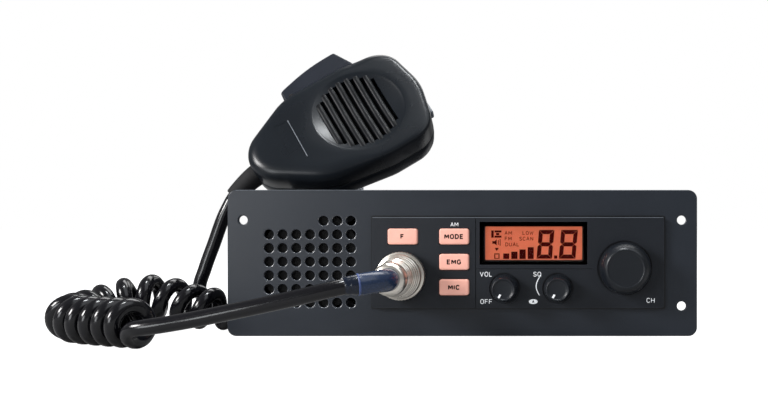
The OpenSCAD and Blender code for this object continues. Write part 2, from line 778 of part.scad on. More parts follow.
module backlight_block() {
    color("white") slab(window_x, window_z + lcd_dz, bezel_y1 + lcd_t, board_y0, lcd_w - 2 * backlight_frame,
        lcd_h - 2 * backlight_frame);
}
module key_cap(i) {
    k = key_places[i];
    color("#fccdb9") {
        slab(k[0], k[1], bezel_y0 - key_proud, bezel_y1 + move_gap, key_w, key_h, key_r);
        slab(k[0], k[1], bezel_y1 + move_gap, bezel_y1 + move_gap + key_flange_t, key_w + 2 * key_flange,
            key_h + 2 * key_flange);
        rod(k[0], k[1], bezel_y1 + move_gap, stem_y1, key_stem_d);
    }
}
module function_key() {
    key_cap(0);
}
module upper_key() {
    key_cap(1);
}
module middle_key() {
    key_cap(2);
}
module lower_key() {
    key_cap(3);
}
module key_switches() {
    color("black") for (k = key_places) {
        slab(k[0], k[1], board_y0 - switch_h, board_y0, switch_w, switch_w);
        rod(k[0], k[1], board_y0 - switch_h - plunger_h, board_y0 - switch_h, plunger_d);
    }
}
module front_board() {
    color("darkgreen") difference() {
        slab(bezel_x, bezel_z, board_y0, board_y1, bezel_w - 2 * board_margin, bezel_h - 2 * board_margin);
        rod(socket_x, socket_z, board_y0 - 1, board_y1 + 1, socket_d + 2);
    }
}

// Controls: knob, shaft and the part on the board that the shaft turns in
module knob(x, z, base_d, face_d, length, crown) {
    y0 = knob_y1 - length;
    difference() {
        union() {
            rod(x, z, y0 + crown, knob_y1, base_d);
            cone_rod(x, z, y0, y0 + crown, face_d, base_d);
        }
        rod(x, z, knob_y1 - shaft_in_knob, knob_y1 + 1, shaft_d);
        translate([x, y0, z]) rotate([0, 30, 0])
            translate([-pointer_w / 2, -1, -face_d / 2]) cube([pointer_w, 1 + pointer_depth, face_d / 4]);
    }
}
module shaft(x, z) {
    color("silver") rod(x, z, knob_y1 - shaft_in_knob, board_y0 - pot_wall, shaft_d);
}
module control(x, z, w) {
    color("gray") difference() {
        slab(x, z, board_y0 - pot_h, board_y0, w, w);
        rod(x, z, board_y0 - pot_h - 1, board_y0 - pot_wall + run_gap, shaft_d + 2 * run_gap);
    }
}
module volume_knob() {
    color("#2d3237") knob(volume_x, small_z, small_knob_d, small_face_d, small_knob_h, small_crown);
}
module volume_shaft() {
    shaft(volume_x, small_z);
}
module volume_pot() {
    control(volume_x, small_z, pot_w);
}
module squelch_knob() {
    color("#2d3237") knob(squelch_x, small_z, small_knob_d, small_face_d, small_knob_h, small_crown);
}
module squelch_shaft() {
    shaft(squelch_x, small_z);
}
module squelch_pot() {
    control(squelch_x, small_z, pot_w);
}
module channel_knob() {
    color("#2d3237")
        knob(channel_x, channel_z, channel_knob_d, channel_face_d, channel_knob_h, channel_crown);
}
module channel_shaft() {
    shaft(channel_x, channel_z);
}
module channel_encoder() {
    control(channel_x, channel_z, encoder_w);
}

// Microphone socket
module mic_socket() {
    color("silver") difference() {
        union() {
            rod(socket_x, socket_z, socket_y0, bezel_y1 + socket_tail, socket_d);
            rod(socket_x, socket_z, bezel_y0 - socket_flange_t, bezel_y0, socket_flange_d);
        }
        rod(socket_x, socket_z, socket_y0 - 1, bezel_y1 + socket_tail + 1, socket_bore_d);
    }
}
module socket_insert() {
    color("black") union() {
        rod(socket_x, socket_z, insert_y0, bezel_y1 + socket_tail, socket_bore_d - 2 * run_gap);
        for (i = [0 : pin_n - 1]) {
            x = socket_x + pin_circle_d / 2 * cos(360 * i / pin_n);
            z = socket_z + pin_circle_d / 2 * sin(360 * i / pin_n);
            rod(x, z, socket_y0 + 1, insert_y0 + 1, pin_d);
        }
    }
}
module socket_nut() {
    color("silver")
        ring_rod(socket_x, socket_z, bezel_y1, bezel_y1 + ring_nut_t, ring_nut_d, socket_d + 2 * run_gap);
}

// Sheet housing
module bottom_chassis() {
    hw = body_w / 2;
    y0 = panel_y1;
    color("#8a8d92") difference() {
        union() {
            block(-hw, hw, y0 + front_gap, back_y, body_z0, tray_z0);
            for (sx = [-1, 1]) {
                block(min(sx * hw, sx * (hw - sheet_t)), max(sx * hw, sx * (hw - sheet_t)), y0, back_y,
                    body_z0, lid_z0 - seat_gap);
                block(min(sx * (hw - sheet_t), sx * (hw + ear_l)),
                    max(sx * (hw - sheet_t), sx * (hw + ear_l)), y0, y0 + sheet_t, panel_h / 2 - ear_h / 2,
                    panel_h / 2 + ear_h / 2);
                for (z = [body_z0, body_z1 - sheet_t - seat_gap - tab_w])
                    block(min(sx * (hw - sheet_t), sx * (hw - tab_w)),
                        max(sx * (hw - sheet_t), sx * (hw - tab_w)), back_y - sheet_t, back_y, z, z + tab_w);
                for (y = [main_y0 + standoff_inset, main_y0 + main_d - standoff_inset])
                    translate([sx * (main_w / 2 - standoff_inset), y, tray_z0 - eps])
                        cylinder(h = standoff_h + eps, d = standoff_d);
            }
        }
        for (s = ear_studs) rod(s[0], s[1], y0 - 1, y0 + sheet_t + 1, stud_d + 2 * seat_gap);
        for (sx = [-1, 1], y = lip_screw_ys) translate([sx * hw, y, lip_screw_z]) rotate([0, 90, 0])
            cylinder(h = 4 * sheet_t, d = screw_d + 2 * run_gap, center = true);
        for (sx = [-1, 1], y = foot_ys) translate([sx * foot_dx, y, body_z0 - 1])
            cylinder(h = sheet_t + 2, d = feet_bore_d + 2 * run_gap);
        for (s = sink_screws) rod(s[0], s[1], back_y - 2 * sheet_t, back_y + 1, screw_d + 2 * run_gap);
    }
}
module top_cover() {
    hw = body_w / 2 + lip_gap;
    color("#8a8d92") difference() {
        union() {
            block(-hw - sheet_t, hw + sheet_t, panel_y1 + front_gap, back_y, lid_z0, body_z1);
            for (sx = [-1, 1])
                block(min(sx * hw, sx * (hw + sheet_t)), max(sx * hw, sx * (hw + sheet_t)),
                    panel_y1 + sheet_t + nut_h + stud_over + 1, back_y, body_z1 - lip_h, body_z1);
        }
        for (i = [0 : vent_n - 1])
            translate([vent_x + (i - (vent_n - 1) / 2) * vent_pitch, back_y - vent_back - vent_l, lid_z0 - 1])
                cube([vent_w, vent_l, sheet_t + 2]);
        for (sx = [-1, 1], y = lip_screw_ys) translate([sx * hw, y, lip_screw_z]) rotate([0, 90, 0])
            cylinder(h = 6 * sheet_t, d = screw_d + 2 * run_gap, center = true);
        for (sx = [-1, 1]) translate([holder_x + sx * holder_screw_dx, holder_screw_y, lid_z0 - 1])
            cylinder(h = sheet_t + 2, d = screw_d + 2 * run_gap);
    }
}
module rear_heat_sink() {
    color("#3a3a3c") difference() {
        union() {
            slab(0, (tray_z0 + lid_z0) / 2 - sheet_t / 2, back_y, back_y + sink_t, body_w - 2 * sink_margin,
                lid_z0 - tray_z0 + sheet_t);
            for (i = [0 : fin_n - 1])
                block(fin_x0 + i * fin_pitch, fin_x0 + i * fin_pitch + fin_t, back_y + sink_t - eps,
                    back_y + sink_t + fin_l, tray_z0, lid_z0 - sheet_t);
        }
        for (s = sink_screws) rod(s[0], s[1], back_y - 1, back_y + sink_t + 1, screw_d + 2 * run_gap);
        rod(antenna_x, rear_z, back_y - 1, back_y + sink_t + 1, antenna_bore_d + 3);
        rod(jack_x, rear_z, back_y - 1, back_y + sink_t + 1, jack_nut_d - 1 + 2 * run_gap);
        slab(inlet_x, rear_z, back_y - 1, back_y + sink_t + 1, inlet_w, inlet_h);
    }
}
module screw() {
    cylinder(h = head_h, d = head_d);
    translate([0, 0, -screw_l + eps]) cylinder(h = screw_l, d = screw_d);
}
module housing_screws() {
    hw = body_w / 2 + lip_gap + sheet_t;
    color("silver") {
        for (sx = [-1, 1], y = lip_screw_ys) translate([sx * hw, y, lip_screw_z]) rotate([0, sx * 90, 0])
            screw();
        for (s = sink_screws) {
            rod(s[0], s[1], back_y + sink_t, back_y + sink_t + head_h, head_d);
            rod(s[0], s[1], back_y + sink_t - screw_l, back_y + sink_t + eps, screw_d);
        }
        for (sx = [-1, 1]) translate([holder_x + sx * holder_screw_dx, holder_screw_y, body_z1 + holder_t])
            screw();
    }
}
module rubber_feet() {
    grip = sheet_t + 1.2;
    color("#202020") for (sx = [-1, 1], y = foot_ys) translate([sx * foot_dx, y, 0]) {
        cylinder(h = body_z0, d = foot_d);
        cylinder(h = body_z0 + grip, d = feet_bore_d);
    }
}

// Boards inside
module main_board() {
    cap_d = 9;
    cap_h = 14;
    cap_pitch = 14;
    cap_x = 30;
    cap_y = main_y0 + 30;
    filter_w = 8;
    filter_h = 11;
    filter_pitch = 11;
    filter_x = -main_w / 2 + 10;
    filter_y = main_y0 + 70;
    power_w = 11;
    power_d = 5;
    power_h = 16;
    power_x = 20;
    power_y = main_y0 + main_d - 18;
    color("darkgreen") {
        translate([-main_w / 2, main_y0, main_z0]) cube([main_w, main_d, board_t]);
        for (i = [0 : 2]) translate([cap_x + cap_pitch * i, cap_y, main_z1 - eps])
            cylinder(h = cap_h, d = cap_d);
        for (i = [0 : 3]) translate([filter_x + filter_pitch * i, filter_y, main_z1 - eps])
            cube([filter_w, filter_w, filter_h]);
        translate([power_x, power_y, main_z1 - eps]) cube([power_w, power_d, power_h]);
    }
}
module rf_shield() {
    color("silver") translate([can_x, can_y, main_z1]) difference() {
        translate([-can_w / 2, -can_d / 2, 0]) cube([can_w, can_d, can_h]);
        translate([-can_w / 2 + can_wall, -can_d / 2 + can_wall, -1])
            cube([can_w - 2 * can_wall, can_d - 2 * can_wall, can_h + 1 - can_wall]);
    }
}

// Sockets at the back
module antenna_socket() {
    y0 = back_y + sink_t;
    color("silver") {
        difference() {
            union() {
                slab(antenna_x, rear_z, y0, y0 + antenna_flange_t, antenna_flange_w, antenna_flange_w);
                rod(antenna_x, rear_z, y0 + antenna_flange_t - eps, y0 + antenna_flange_t + antenna_l,
                    antenna_d);
            }
            rod(antenna_x, rear_z, y0 + antenna_flange_t, y0 + antenna_flange_t + antenna_l + 1,
                antenna_bore_d);
        }
        difference() {
            rod(antenna_x, rear_z, back_y - 8, y0 + antenna_flange_t + antenna_l - 1, antenna_pin_d);
            rod(antenna_x, rear_z, y0 + antenna_flange_t + 2, y0 + antenna_flange_t + antenna_l,
                antenna_pin_d - 2 * antenna_pin_wall);
        }
    }
}
module dc_inlet() {
    y1 = back_y + sink_t + inlet_l;
    color("black") {
        difference() {
            slab(inlet_x, rear_z, back_y - 4, y1, inlet_w - 2 * seat_gap, inlet_h - 2 * seat_gap);
            slab(inlet_x, rear_z, back_y, y1 + 1, inlet_w - 2 * inlet_wall, inlet_h - 2 * inlet_wall);
        }
        for (sx = [-1, 1]) rod(inlet_x + sx * inlet_w / 4, rear_z, back_y - 1, y1 - 1, inlet_pin_d);
    }
}
module ext_speaker_jack() {
    y0 = back_y + sink_t;
    color("silver") difference() {
        union() {
            rod(jack_x, rear_z, y0, y0 + jack_l, jack_ring_d);
            rod(jack_x, rear_z, back_y - 10, y0 + eps, jack_nut_d - 1);
        }
        rod(jack_x, rear_z, back_y - 8, y0 + jack_l + 1, jack_bore_d);
    }
}

// Microphone
module ptt_window(gap) {
    translate([ptt_u0 - gap, 0, ptt_z0 - gap])
        cube([ptt_u1 - ptt_u0 + 2 * gap, mic_half_w + 20, ptt_w + 2 * gap]);
}
module ptt_cut() {
    depth = ptt_inside + 2;
    translate([0, mic_edge((ptt_u0 + ptt_u1) / 2) - depth - 4, 0]) ptt_window(move_gap);
}
module button_cut(v) {
    l = mic_button_l + 2 * move_gap;
    w = mic_button_w + 2 * move_gap;
    translate([mic_l - mic_wall - 3, v - l / 2, mic_button_z - w / 2]) cube([mic_wall + 6, l, w]);
}
module relief_cut() {
    translate([-5, 0, relief_z]) rotate([0, 90, 0]) cylinder(h = mic_wall + 8, d = relief_d + 2 * seat_gap);
}
module mic_front_shell() {
    dish_r = (dish_d * dish_d / 4 + dish_depth * dish_depth) / (2 * dish_depth);
    inner = [[mic_wall, 3], [mic_wall + 1, 1.2], [mic_wall + 2.4, 0.4], [mic_split + 1, 0.4]];
    color("#2d3238") on_mic() difference() {
        union() {
            difference() {
                loft(mic_front_rings);
                loft(inner, mic_wall);
            }
            translate([dish_u, 0, -pad_t]) cylinder(h = pad_t - mic_wall + eps, d = dish_d);
            for (b = mic_boss_us) translate([b[0], b[1], -mic_split + 1])
                cylinder(h = mic_split - 1 - mic_wall + eps, d = lug_d);
        }
        translate([dish_u, 0, dish_r - dish_depth]) sphere(dish_r, $fn = 128);
        intersection() {
            translate([dish_u, 0, -pad_t - 1]) cylinder(h = pad_t + 2, d = slot_span_d);
            for (i = [0 : slot_n - 1]) let (u = dish_u + (i - (slot_n - 1) / 2) * slot_pitch)
                translate([u - slot_w / 2, -dish_d / 2, -pad_t - 1]) cube([slot_w, dish_d, pad_t + 2]);
        }
        translate([plate_u - plate_w / 2, -plate_l / 2, -plate_sink]) cube([plate_w, plate_l, 1]);
        for (b = mic_boss_us) translate([b[0], b[1], -mic_split]) cylinder(h = 6, d = screw_d - 0.5);
        ptt_cut();
        button_cut(mic_button_v);
        button_cut(-mic_button_v);
        relief_cut();
        translate([ptt_pin_u, ptt_pin_v, ptt_z0 - ptt_pin_over]) cylinder(h = ptt_pin_l, d = ptt_pin_d);
    }
}
module mic_back_shell() {
    inner = [for (r = mic_back_rings) [r[0] - (r[0] > mic_split ? mic_wall : 1), r[1] + 0.4]];
    color("#2a2e34") on_mic() difference() {
        union() {
            difference() {
                loft(mic_back_rings);
                loft(inner, mic_wall);
            }
            for (b = mic_boss_us) translate([b[0], b[1], -mic_t + mic_wall - eps])
                cylinder(h = mic_t - mic_wall - mic_split + 1 - seat_gap, d = lug_d);
            for (sv = [-1, 1])
                translate([mic_board_u0 + post_d, sv * (mic_board_w / 2 - post_d), -mic_t + mic_wall - eps])
                    cylinder(h = mic_board_z + mic_t - mic_wall + eps, d = post_d);
        }
        for (b = mic_boss_us) translate([b[0], b[1], -mic_t - 1]) {
            cylinder(h = mic_t, d = screw_d + 2 * seat_gap);
            cylinder(h = 1 + head_h + 0.4, d = head_d + 2 * seat_gap);
        }
        translate([stud_u, 0, -mic_t - 1]) cylinder(h = mic_wall + 2, d = rivet_d + 2 * run_gap);
        ptt_cut();
        button_cut(mic_button_v);
        button_cut(-mic_button_v);
        relief_cut();
        translate([ptt_pin_u, ptt_pin_v, ptt_z0 - ptt_pin_over]) cylinder(h = ptt_pin_l, d = ptt_pin_d);
    }
}
module mic_felt() {
    color("black") on_mic() translate([dish_u, 0, -pad_t - felt_t]) cylinder(h = felt_t, d = slot_span_d + 1);
}
module mic_capsule() {
    color("silver") on_mic()
        translate([dish_u, 0, -pad_t - felt_t - capsule_h]) cylinder(h = capsule_h, d = capsule_d);
}
module mic_board() {
    color("darkgreen") on_mic() {
        translate([mic_board_u0, -mic_board_w / 2, mic_board_z])
            cube([mic_board_l, mic_board_w, mic_board_t]);
        translate([mic_board_u0 + 2 * chip_l, chip_w, mic_board_z + mic_board_t - eps])
            cube([chip_l, chip_w, chip_h]);
    }
}
module ptt_lever() {
    e0 = mic_edge(ptt_u0);
    e1 = mic_edge(ptt_u1);
    nose = 6;
    color("#2d3238") on_mic() difference() {
        translate([0, 0, ptt_z0]) linear_extrude(ptt_w) polygon([
            [ptt_u0, e0 - ptt_inside], [ptt_u0, e0 + ptt_low - 1], [ptt_u0 + 1.5, e0 + ptt_low],
            [ptt_u1 - nose, e1 + ptt_high], [ptt_u1 - 1, e1 + 1], [ptt_u1, e1 - ptt_inside]
        ]);
        translate([ptt_pin_u, ptt_pin_v, ptt_z0 - 1]) cylinder(h = ptt_w + 2, d = ptt_pin_d + 2 * run_gap);
    }
}
module ptt_pin() {
    color("silver") on_mic()
        translate([ptt_pin_u, ptt_pin_v, ptt_z0 - ptt_pin_over]) cylinder(h = ptt_pin_l, d = ptt_pin_d);
}
module mic_button(v) {
    flange_l = mic_button_l + 2 * mic_button_flange;
    flange_w = mic_button_w + 2 * mic_button_flange;
    color("#9ba0a6") on_mic() translate([mic_l - mic_wall - mic_button_back, v, mic_button_z]) {
        translate([0, -mic_button_l / 2, -mic_button_w / 2])
            cube([mic_wall + mic_button_back + mic_button_proud, mic_button_l, mic_button_w]);
        translate([0, -flange_l / 2, -flange_w / 2]) cube([mic_button_flange, flange_l, flange_w]);
    }
}
module mic_up_button() {
    mic_button(mic_button_v);
}
module mic_down_button() {
    mic_button(-mic_button_v);
}
module hang_stud() {
    inner_h = 1;
    color("silver") on_mic() translate([stud_u, 0, -mic_t]) {
        translate([0, 0, -neck_l]) cylinder(h = neck_l, d = stud_neck_d);
        translate([0, 0, -neck_l - stud_head_t]) cylinder(h = stud_head_t, d = stud_head_d);
        translate([0, 0, -eps]) cylinder(h = mic_wall + eps, d = rivet_d);
        translate([0, 0, mic_wall]) cylinder(h = inner_h, d = rivet_d + 3);
    }
}
module mic_screws() {
    length = mic_t - mic_split - head_h + 4;
    color("silver") on_mic() for (b = mic_boss_us) translate([b[0], b[1], -mic_t + 0.4]) {
        cylinder(h = head_h, d = head_d);
        cylinder(h = head_h + length, d = screw_d - 0.5);
    }
}
module mic_strain_relief() {
    flange_d = relief_d + 3;
    color("#202225") on_mic() translate([0, 0, relief_z]) rotate([0, -90, 0]) {
        cylinder(h = relief_l, d1 = relief_d, d2 = relief_tip_d);
        translate([0, 0, -mic_wall - 4]) cylinder(h = mic_wall + 4 + eps, d = relief_d);
        translate([0, 0, -mic_wall - 6]) cylinder(h = 2, d = flange_d);
    }
}
module mic_holder() {
    slot_d = stud_neck_d + 2 * move_gap;
    stud_v = stud_u * sin(mic_turn);
    stud_x = stud_u * cos(mic_turn);
    color("#a6a9ae") difference() {
        union() {
            translate(holder_plane) rotate([90 - mic_lean, 0, 0])
                translate([stud_x - holder_w / 2, holder_rise, 0])
                    cube([holder_w, stud_v + holder_top - holder_rise, holder_t]);
            block(holder_x - holder_w / 2, holder_x + holder_w / 2, holder_foot_y - holder_t,
                holder_foot_y + holder_foot, body_z1, body_z1 + holder_t);
        }
        translate(holder_plane) rotate([90 - mic_lean, 0, 0]) translate([stud_x, stud_v, -1]) {
            cylinder(h = holder_t + 2, d = slot_d);
            translate([-slot_d / 2, 0, 0]) cube([slot_d, holder_top + 5, holder_t + 2]);
        }
        block(holder_x - holder_w, holder_x + holder_w, holder_foot_y - holder_foot,
            holder_foot_y + holder_foot, body_z1 - holder_foot, body_z1);
        for (sx = [-1, 1]) translate([holder_x + sx * holder_screw_dx, holder_screw_y, body_z1 - 1])
            cylinder(h = holder_t + 2, d = screw_d + 2 * run_gap);
    }
}

// Plug and cord
module plug_barrel() {
    core_d = socket_bore_d - 2 * move_gap;
    color("silver") difference() {
        union() {
            rod(socket_x, socket_z, shoulder_y1 - shoulder_t, shoulder_y1, shoulder_d);
            rod(socket_x, socket_z, plug_y0 + clamp_l - eps, shoulder_y1 - shoulder_t + eps, barrel_d);
            rod(socket_x, socket_z, plug_y0, plug_y0 + clamp_l, clamp_d);
            rod(socket_x, socket_z, shoulder_y1 - eps, plug_core_y1, core_d);
        }
        for (i = [0 : pin_n - 1]) {
            x = socket_x + pin_circle_d / 2 * cos(360 * i / pin_n);
            z = socket_z + pin_circle_d / 2 * sin(360 * i / pin_n);
            rod(x, z, socket_y0, plug_core_y1 + 1, pin_d + 2 * move_gap);
        }
        ring_rod(socket_x, socket_z, plug_y0 + clamp_l - 1, plug_y0 + clamp_l + 1, barrel_d + 2, collet_d);
    }
}
module plug_coupling_nut() {
    lip_y1 = shoulder_y1 - shoulder_t - move_gap;
    color("#c4c6ca") difference() {
        rod(socket_x, socket_z, coupling_y0, coupling_y1, coupling_d);
        rod(socket_x, socket_z, lip_y1, coupling_y1 + 1, shoulder_d + 2 * move_gap);
        rod(socket_x, socket_z, coupling_y0 - 1, lip_y1 + 1, barrel_d + 2 * run_gap);
        for (i = [0 : knurl_n - 1]) {
            x = socket_x + coupling_d / 2 * cos(360 * i / knurl_n);
            z = socket_z + coupling_d / 2 * sin(360 * i / knurl_n);
            rod(x, z, coupling_y0 + 1.5, coupling_y1 - 1.5, knurl_d);
        }
    }
}
module plug_boot() {
    color("#1d2c5a") tube(boot_route, cord_d + 1.2, 12);
}
module plug_lead() {
    color("#1c1e22") tube(plug_line, cord_d, 10);
}
module curly_cord() {
    color("#1c1e22") tube(curl_line, cord_d, 6);
}
module mic_lead() {
    color("#1c1e22") tube(mic_line, cord_d, 10);
}

front_panel();
panel_studs();
panel_nuts();
speaker_washers();
speaker_cloth();
speaker_basket();
speaker_cone();
speaker_magnet();
front_bezel();
display_window();
lcd_panel();
backlight_block();
function_key();
upper_key();
middle_key();
lower_key();
key_switches();
front_board();
volume_knob();
volume_shaft();
volume_pot();
squelch_knob();
squelch_shaft();
squelch_pot();
channel_knob();
channel_shaft();
channel_encoder();
mic_socket();
socket_insert();
socket_nut();
bottom_chassis();
top_cover();
rear_heat_sink();
housing_screws();
rubber_feet();
main_board();
rf_shield();
antenna_socket();
dc_inlet();
ext_speaker_jack();
mic_front_shell();
mic_back_shell();
mic_felt();
mic_capsule();
mic_board();
ptt_lever();
ptt_pin();
mic_up_button();
mic_down_button();
hang_stud();
mic_screws();
mic_strain_relief();
mic_holder();
plug_barrel();
plug_coupling_nut();
plug_boot();
plug_lead();
curly_cord();
mic_lead();
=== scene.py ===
"""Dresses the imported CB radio: cords, microphone, front, controls, housing, light and camera."""

import math

import bmesh
import bpy
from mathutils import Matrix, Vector


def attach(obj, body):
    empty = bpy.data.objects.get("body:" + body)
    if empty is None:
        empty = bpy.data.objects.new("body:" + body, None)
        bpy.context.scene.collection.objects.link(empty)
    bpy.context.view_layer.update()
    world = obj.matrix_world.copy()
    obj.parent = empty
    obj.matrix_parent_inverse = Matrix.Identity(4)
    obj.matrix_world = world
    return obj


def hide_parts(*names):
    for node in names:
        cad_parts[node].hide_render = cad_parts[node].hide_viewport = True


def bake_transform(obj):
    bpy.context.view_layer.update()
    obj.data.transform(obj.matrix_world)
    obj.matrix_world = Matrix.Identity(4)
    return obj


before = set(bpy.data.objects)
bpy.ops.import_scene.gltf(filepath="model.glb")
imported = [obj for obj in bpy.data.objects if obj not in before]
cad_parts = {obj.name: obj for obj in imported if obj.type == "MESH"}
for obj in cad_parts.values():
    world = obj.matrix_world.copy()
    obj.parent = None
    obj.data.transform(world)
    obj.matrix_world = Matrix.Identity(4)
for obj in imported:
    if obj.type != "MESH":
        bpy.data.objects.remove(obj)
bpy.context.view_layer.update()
MM = 0.001


# Materials


def nodes_of(name):
    """A new material, its node tree and its shader."""
    m = bpy.data.materials.new(name)
    m.use_nodes = True
    t = m.node_tree
    return m, t, t.nodes["Principled BSDF"]


def add(t, kind, inputs=None, **props):
    """One node; inputs are numbers, colours or other sockets."""
    n = t.nodes.new(kind)
    for k, v in props.items():
        setattr(n, k, v)
    for k, v in (inputs or {}).items():
        if isinstance(v, bpy.types.NodeSocket):
            t.links.new(v, n.inputs[k])
        else:
            n.inputs[k].default_value = v
    return n


def srgb(r, g, b):
    """Linear colour of an 8-bit sRGB one."""
    return tuple(((c / 255 + 0.055) / 1.055) ** 2.4 if c > 10 else c / 255 / 12.92 for c in (r, g, b)) + (1,)


def toned(colour, share, lift=0.0):
    """A colour made darker or lighter."""
    return tuple(min(1, c * share + lift) for c in colour[:3]) + (1,)


def place_in(t):
    """Place on the piece, in its own coordinates."""
    return add(t, "ShaderNodeTexCoord").outputs["Object"]


def noise(t, at, scale, detail):
    """Noise from 0 to 1."""
    return add(t, "ShaderNodeTexNoise", {"Vector": at, "Scale": scale, "Detail": detail}).outputs["Fac"]


def bumped(t, p, height, strength, distance):
    """Bump on the shader, from a height."""
    b = add(t, "ShaderNodeBump", {"Height": height, "Strength": strength, "Distance": distance})
    t.links.new(b.outputs["Normal"], p.inputs["Normal"])


def ramp(t, source, low, high, a=0.35, b=0.65):
    """Colour ramp between two colours over part of the source's range."""
    n = add(t, "ShaderNodeValToRGB", {0: source})
    n.color_ramp.elements[0].position = a
    n.color_ramp.elements[0].color = low
    n.color_ramp.elements[1].position = b
    n.color_ramp.elements[1].color = high
    return n.outputs["Color"]


def spread(t, source, low, high):
    """Source from 0 to 1 mapped to low to high."""
    return add(t, "ShaderNodeMapRange", {"Value": source, "To Min": low, "To Max": high}).outputs["Result"]


def moulded(name, colour, rough=0.45, grain=0.00035, bump=0.25, tint=0.12, spec=0.4, edge_highlight=0.0):
    """Moulded or painted surface: fine grain in the bump, slow drift of colour and gloss, and with edge_highlight the
    edges painted paler as a painted highlight.
    """
    m, t, p = nodes_of(name)
    at = place_in(t)
    fine = noise(t, at, 1 / grain, 3.0)
    slow = noise(t, at, 45.0, 4.0)
    shade = ramp(t, slow, toned(colour, 1 - tint), toned(colour, 1 + tint))
    # Painted highlight: edges found by the bevel node are painted paler, standing in for light caught on the edges.
    if edge_highlight:
        edge = add(t, "ShaderNodeBevel", {"Radius": 0.0006}, samples=4)
        flat = add(t, "ShaderNodeNewGeometry")
        turn = add(t, "ShaderNodeVectorMath", {0: edge.outputs[0], 1: flat.outputs["Normal"]}, operation="DOT_PRODUCT")
        edge_mask = add(t, "ShaderNodeMapRange", {"Value": turn.outputs["Value"], "From Min": 0.97, "From Max": 0.8})
        highlight_share = add(t, "ShaderNodeMath", {0: edge_mask.outputs["Result"], 1: edge_highlight}, operation="MULTIPLY")
        pale = toned(colour, 2.2, 0.02)
        mix = add(t, "ShaderNodeMix", {"Factor": highlight_share.outputs[0], "A": shade, "B": pale}, data_type="RGBA")
        shade = mix.outputs["Result"]
    t.links.new(shade, p.inputs["Base Color"])
    t.links.new(spread(t, slow, rough * 0.88, rough * 1.12), p.inputs["Roughness"])
    p.inputs["Specular IOR Level"].default_value = spec
    bumped(t, p, fine, bump, grain * 0.25)
    return m


def metal(name, colour, rough=0.3, scratch=(1, 1, 1), bump=0.08):
    """Plated or bare metal: drifting gloss and fine marks, drawn out along one axis by scratch."""
    m, t, p = nodes_of(name)
    at = place_in(t)
    drawn = add(t, "ShaderNodeMapping", {"Vector": at, "Scale": scratch})
    marks = noise(t, drawn.outputs["Vector"], 1400.0, 5.0)
    slow = noise(t, at, 70.0, 3.0)
    t.links.new(ramp(t, slow, toned(colour, 0.86), colour), p.inputs["Base Color"])
    t.links.new(spread(t, marks, rough * 0.75, rough * 1.25), p.inputs["Roughness"])
    p.inputs["Metallic"].default_value = 1.0
    bumped(t, p, marks, bump, 0.00005)
    return m


def lit(name, colour, strength, rough=0.35, spec=0.4, grain=0.0006):
    """Translucent plastic with a lamp behind it, and print made to glow the same way as painted light: plain colour, a
    little of its own light, uneven glow.
    """
    m, t, p = nodes_of(name)
    at = place_in(t)
    slow = noise(t, at, 220.0, 2.0)
    fine = noise(t, at, 1 / grain, 2.0)
    shade = ramp(t, slow, toned(colour, 0.93), colour)
    t.links.new(shade, p.inputs["Base Color"])
    t.links.new(shade, p.inputs["Emission Color"])
    p.inputs["Emission Strength"].default_value = strength
    p.inputs["Specular IOR Level"].default_value = spec
    t.links.new(spread(t, fine, rough * 0.9, rough * 1.1), p.inputs["Roughness"])
    bumped(t, p, fine, 0.1, 0.0001)
    return m


def woven(name, colour, pitch=0.0008):
    """Woven cloth: two crossed waves for the threads."""
    m, t, p = nodes_of(name)
    at = place_in(t)
    a = add(t, "ShaderNodeTexWave", {"Vector": at, "Scale": 0.3 / pitch}, bands_direction="X")
    b = add(t, "ShaderNodeTexWave", {"Vector": at, "Scale": 0.3 / pitch}, bands_direction="Z")
    both = add(t, "ShaderNodeMath", {0: a.outputs["Fac"], 1: b.outputs["Fac"]}, operation="MULTIPLY")
    t.links.new(ramp(t, both.outputs[0], colour, toned(colour, 2.5), 0.1, 0.9), p.inputs["Base Color"])
    p.inputs["Roughness"].default_value = 0.9
    bumped(t, p, both.outputs[0], 0.6, pitch * 0.4)
    return m


def jacket(name, colour, rough=0.3):
    """Cord jacket: smooth, slightly waxy rubber with soft ripples and dust."""
    m, t, p = nodes_of(name)
    at = place_in(t)
    ripple = noise(t, at, 260.0, 2.0)
    dust = noise(t, at, 1800.0, 4.0)
    t.links.new(ramp(t, dust, colour, toned(colour, 1.5, 0.002), 0.45, 0.75), p.inputs["Base Color"])
    t.links.new(spread(t, ripple, rough * 0.8, rough * 1.3), p.inputs["Roughness"])
    p.inputs["Specular IOR Level"].default_value = 0.5
    bumped(t, p, ripple, 0.15, 0.0003)
    return m


def clear(name, colour, rough=0.06):
    """Clear window with faint smears in its gloss."""
    m, t, p = nodes_of(name)
    smear = noise(t, place_in(t), 120.0, 3.0)
    t.links.new(spread(t, smear, rough * 0.5, rough * 1.6), p.inputs["Roughness"])
    p.inputs["Base Color"].default_value = colour
    p.inputs["Transmission Weight"].default_value = 1.0
    p.inputs["IOR"].default_value = 1.1
    return m


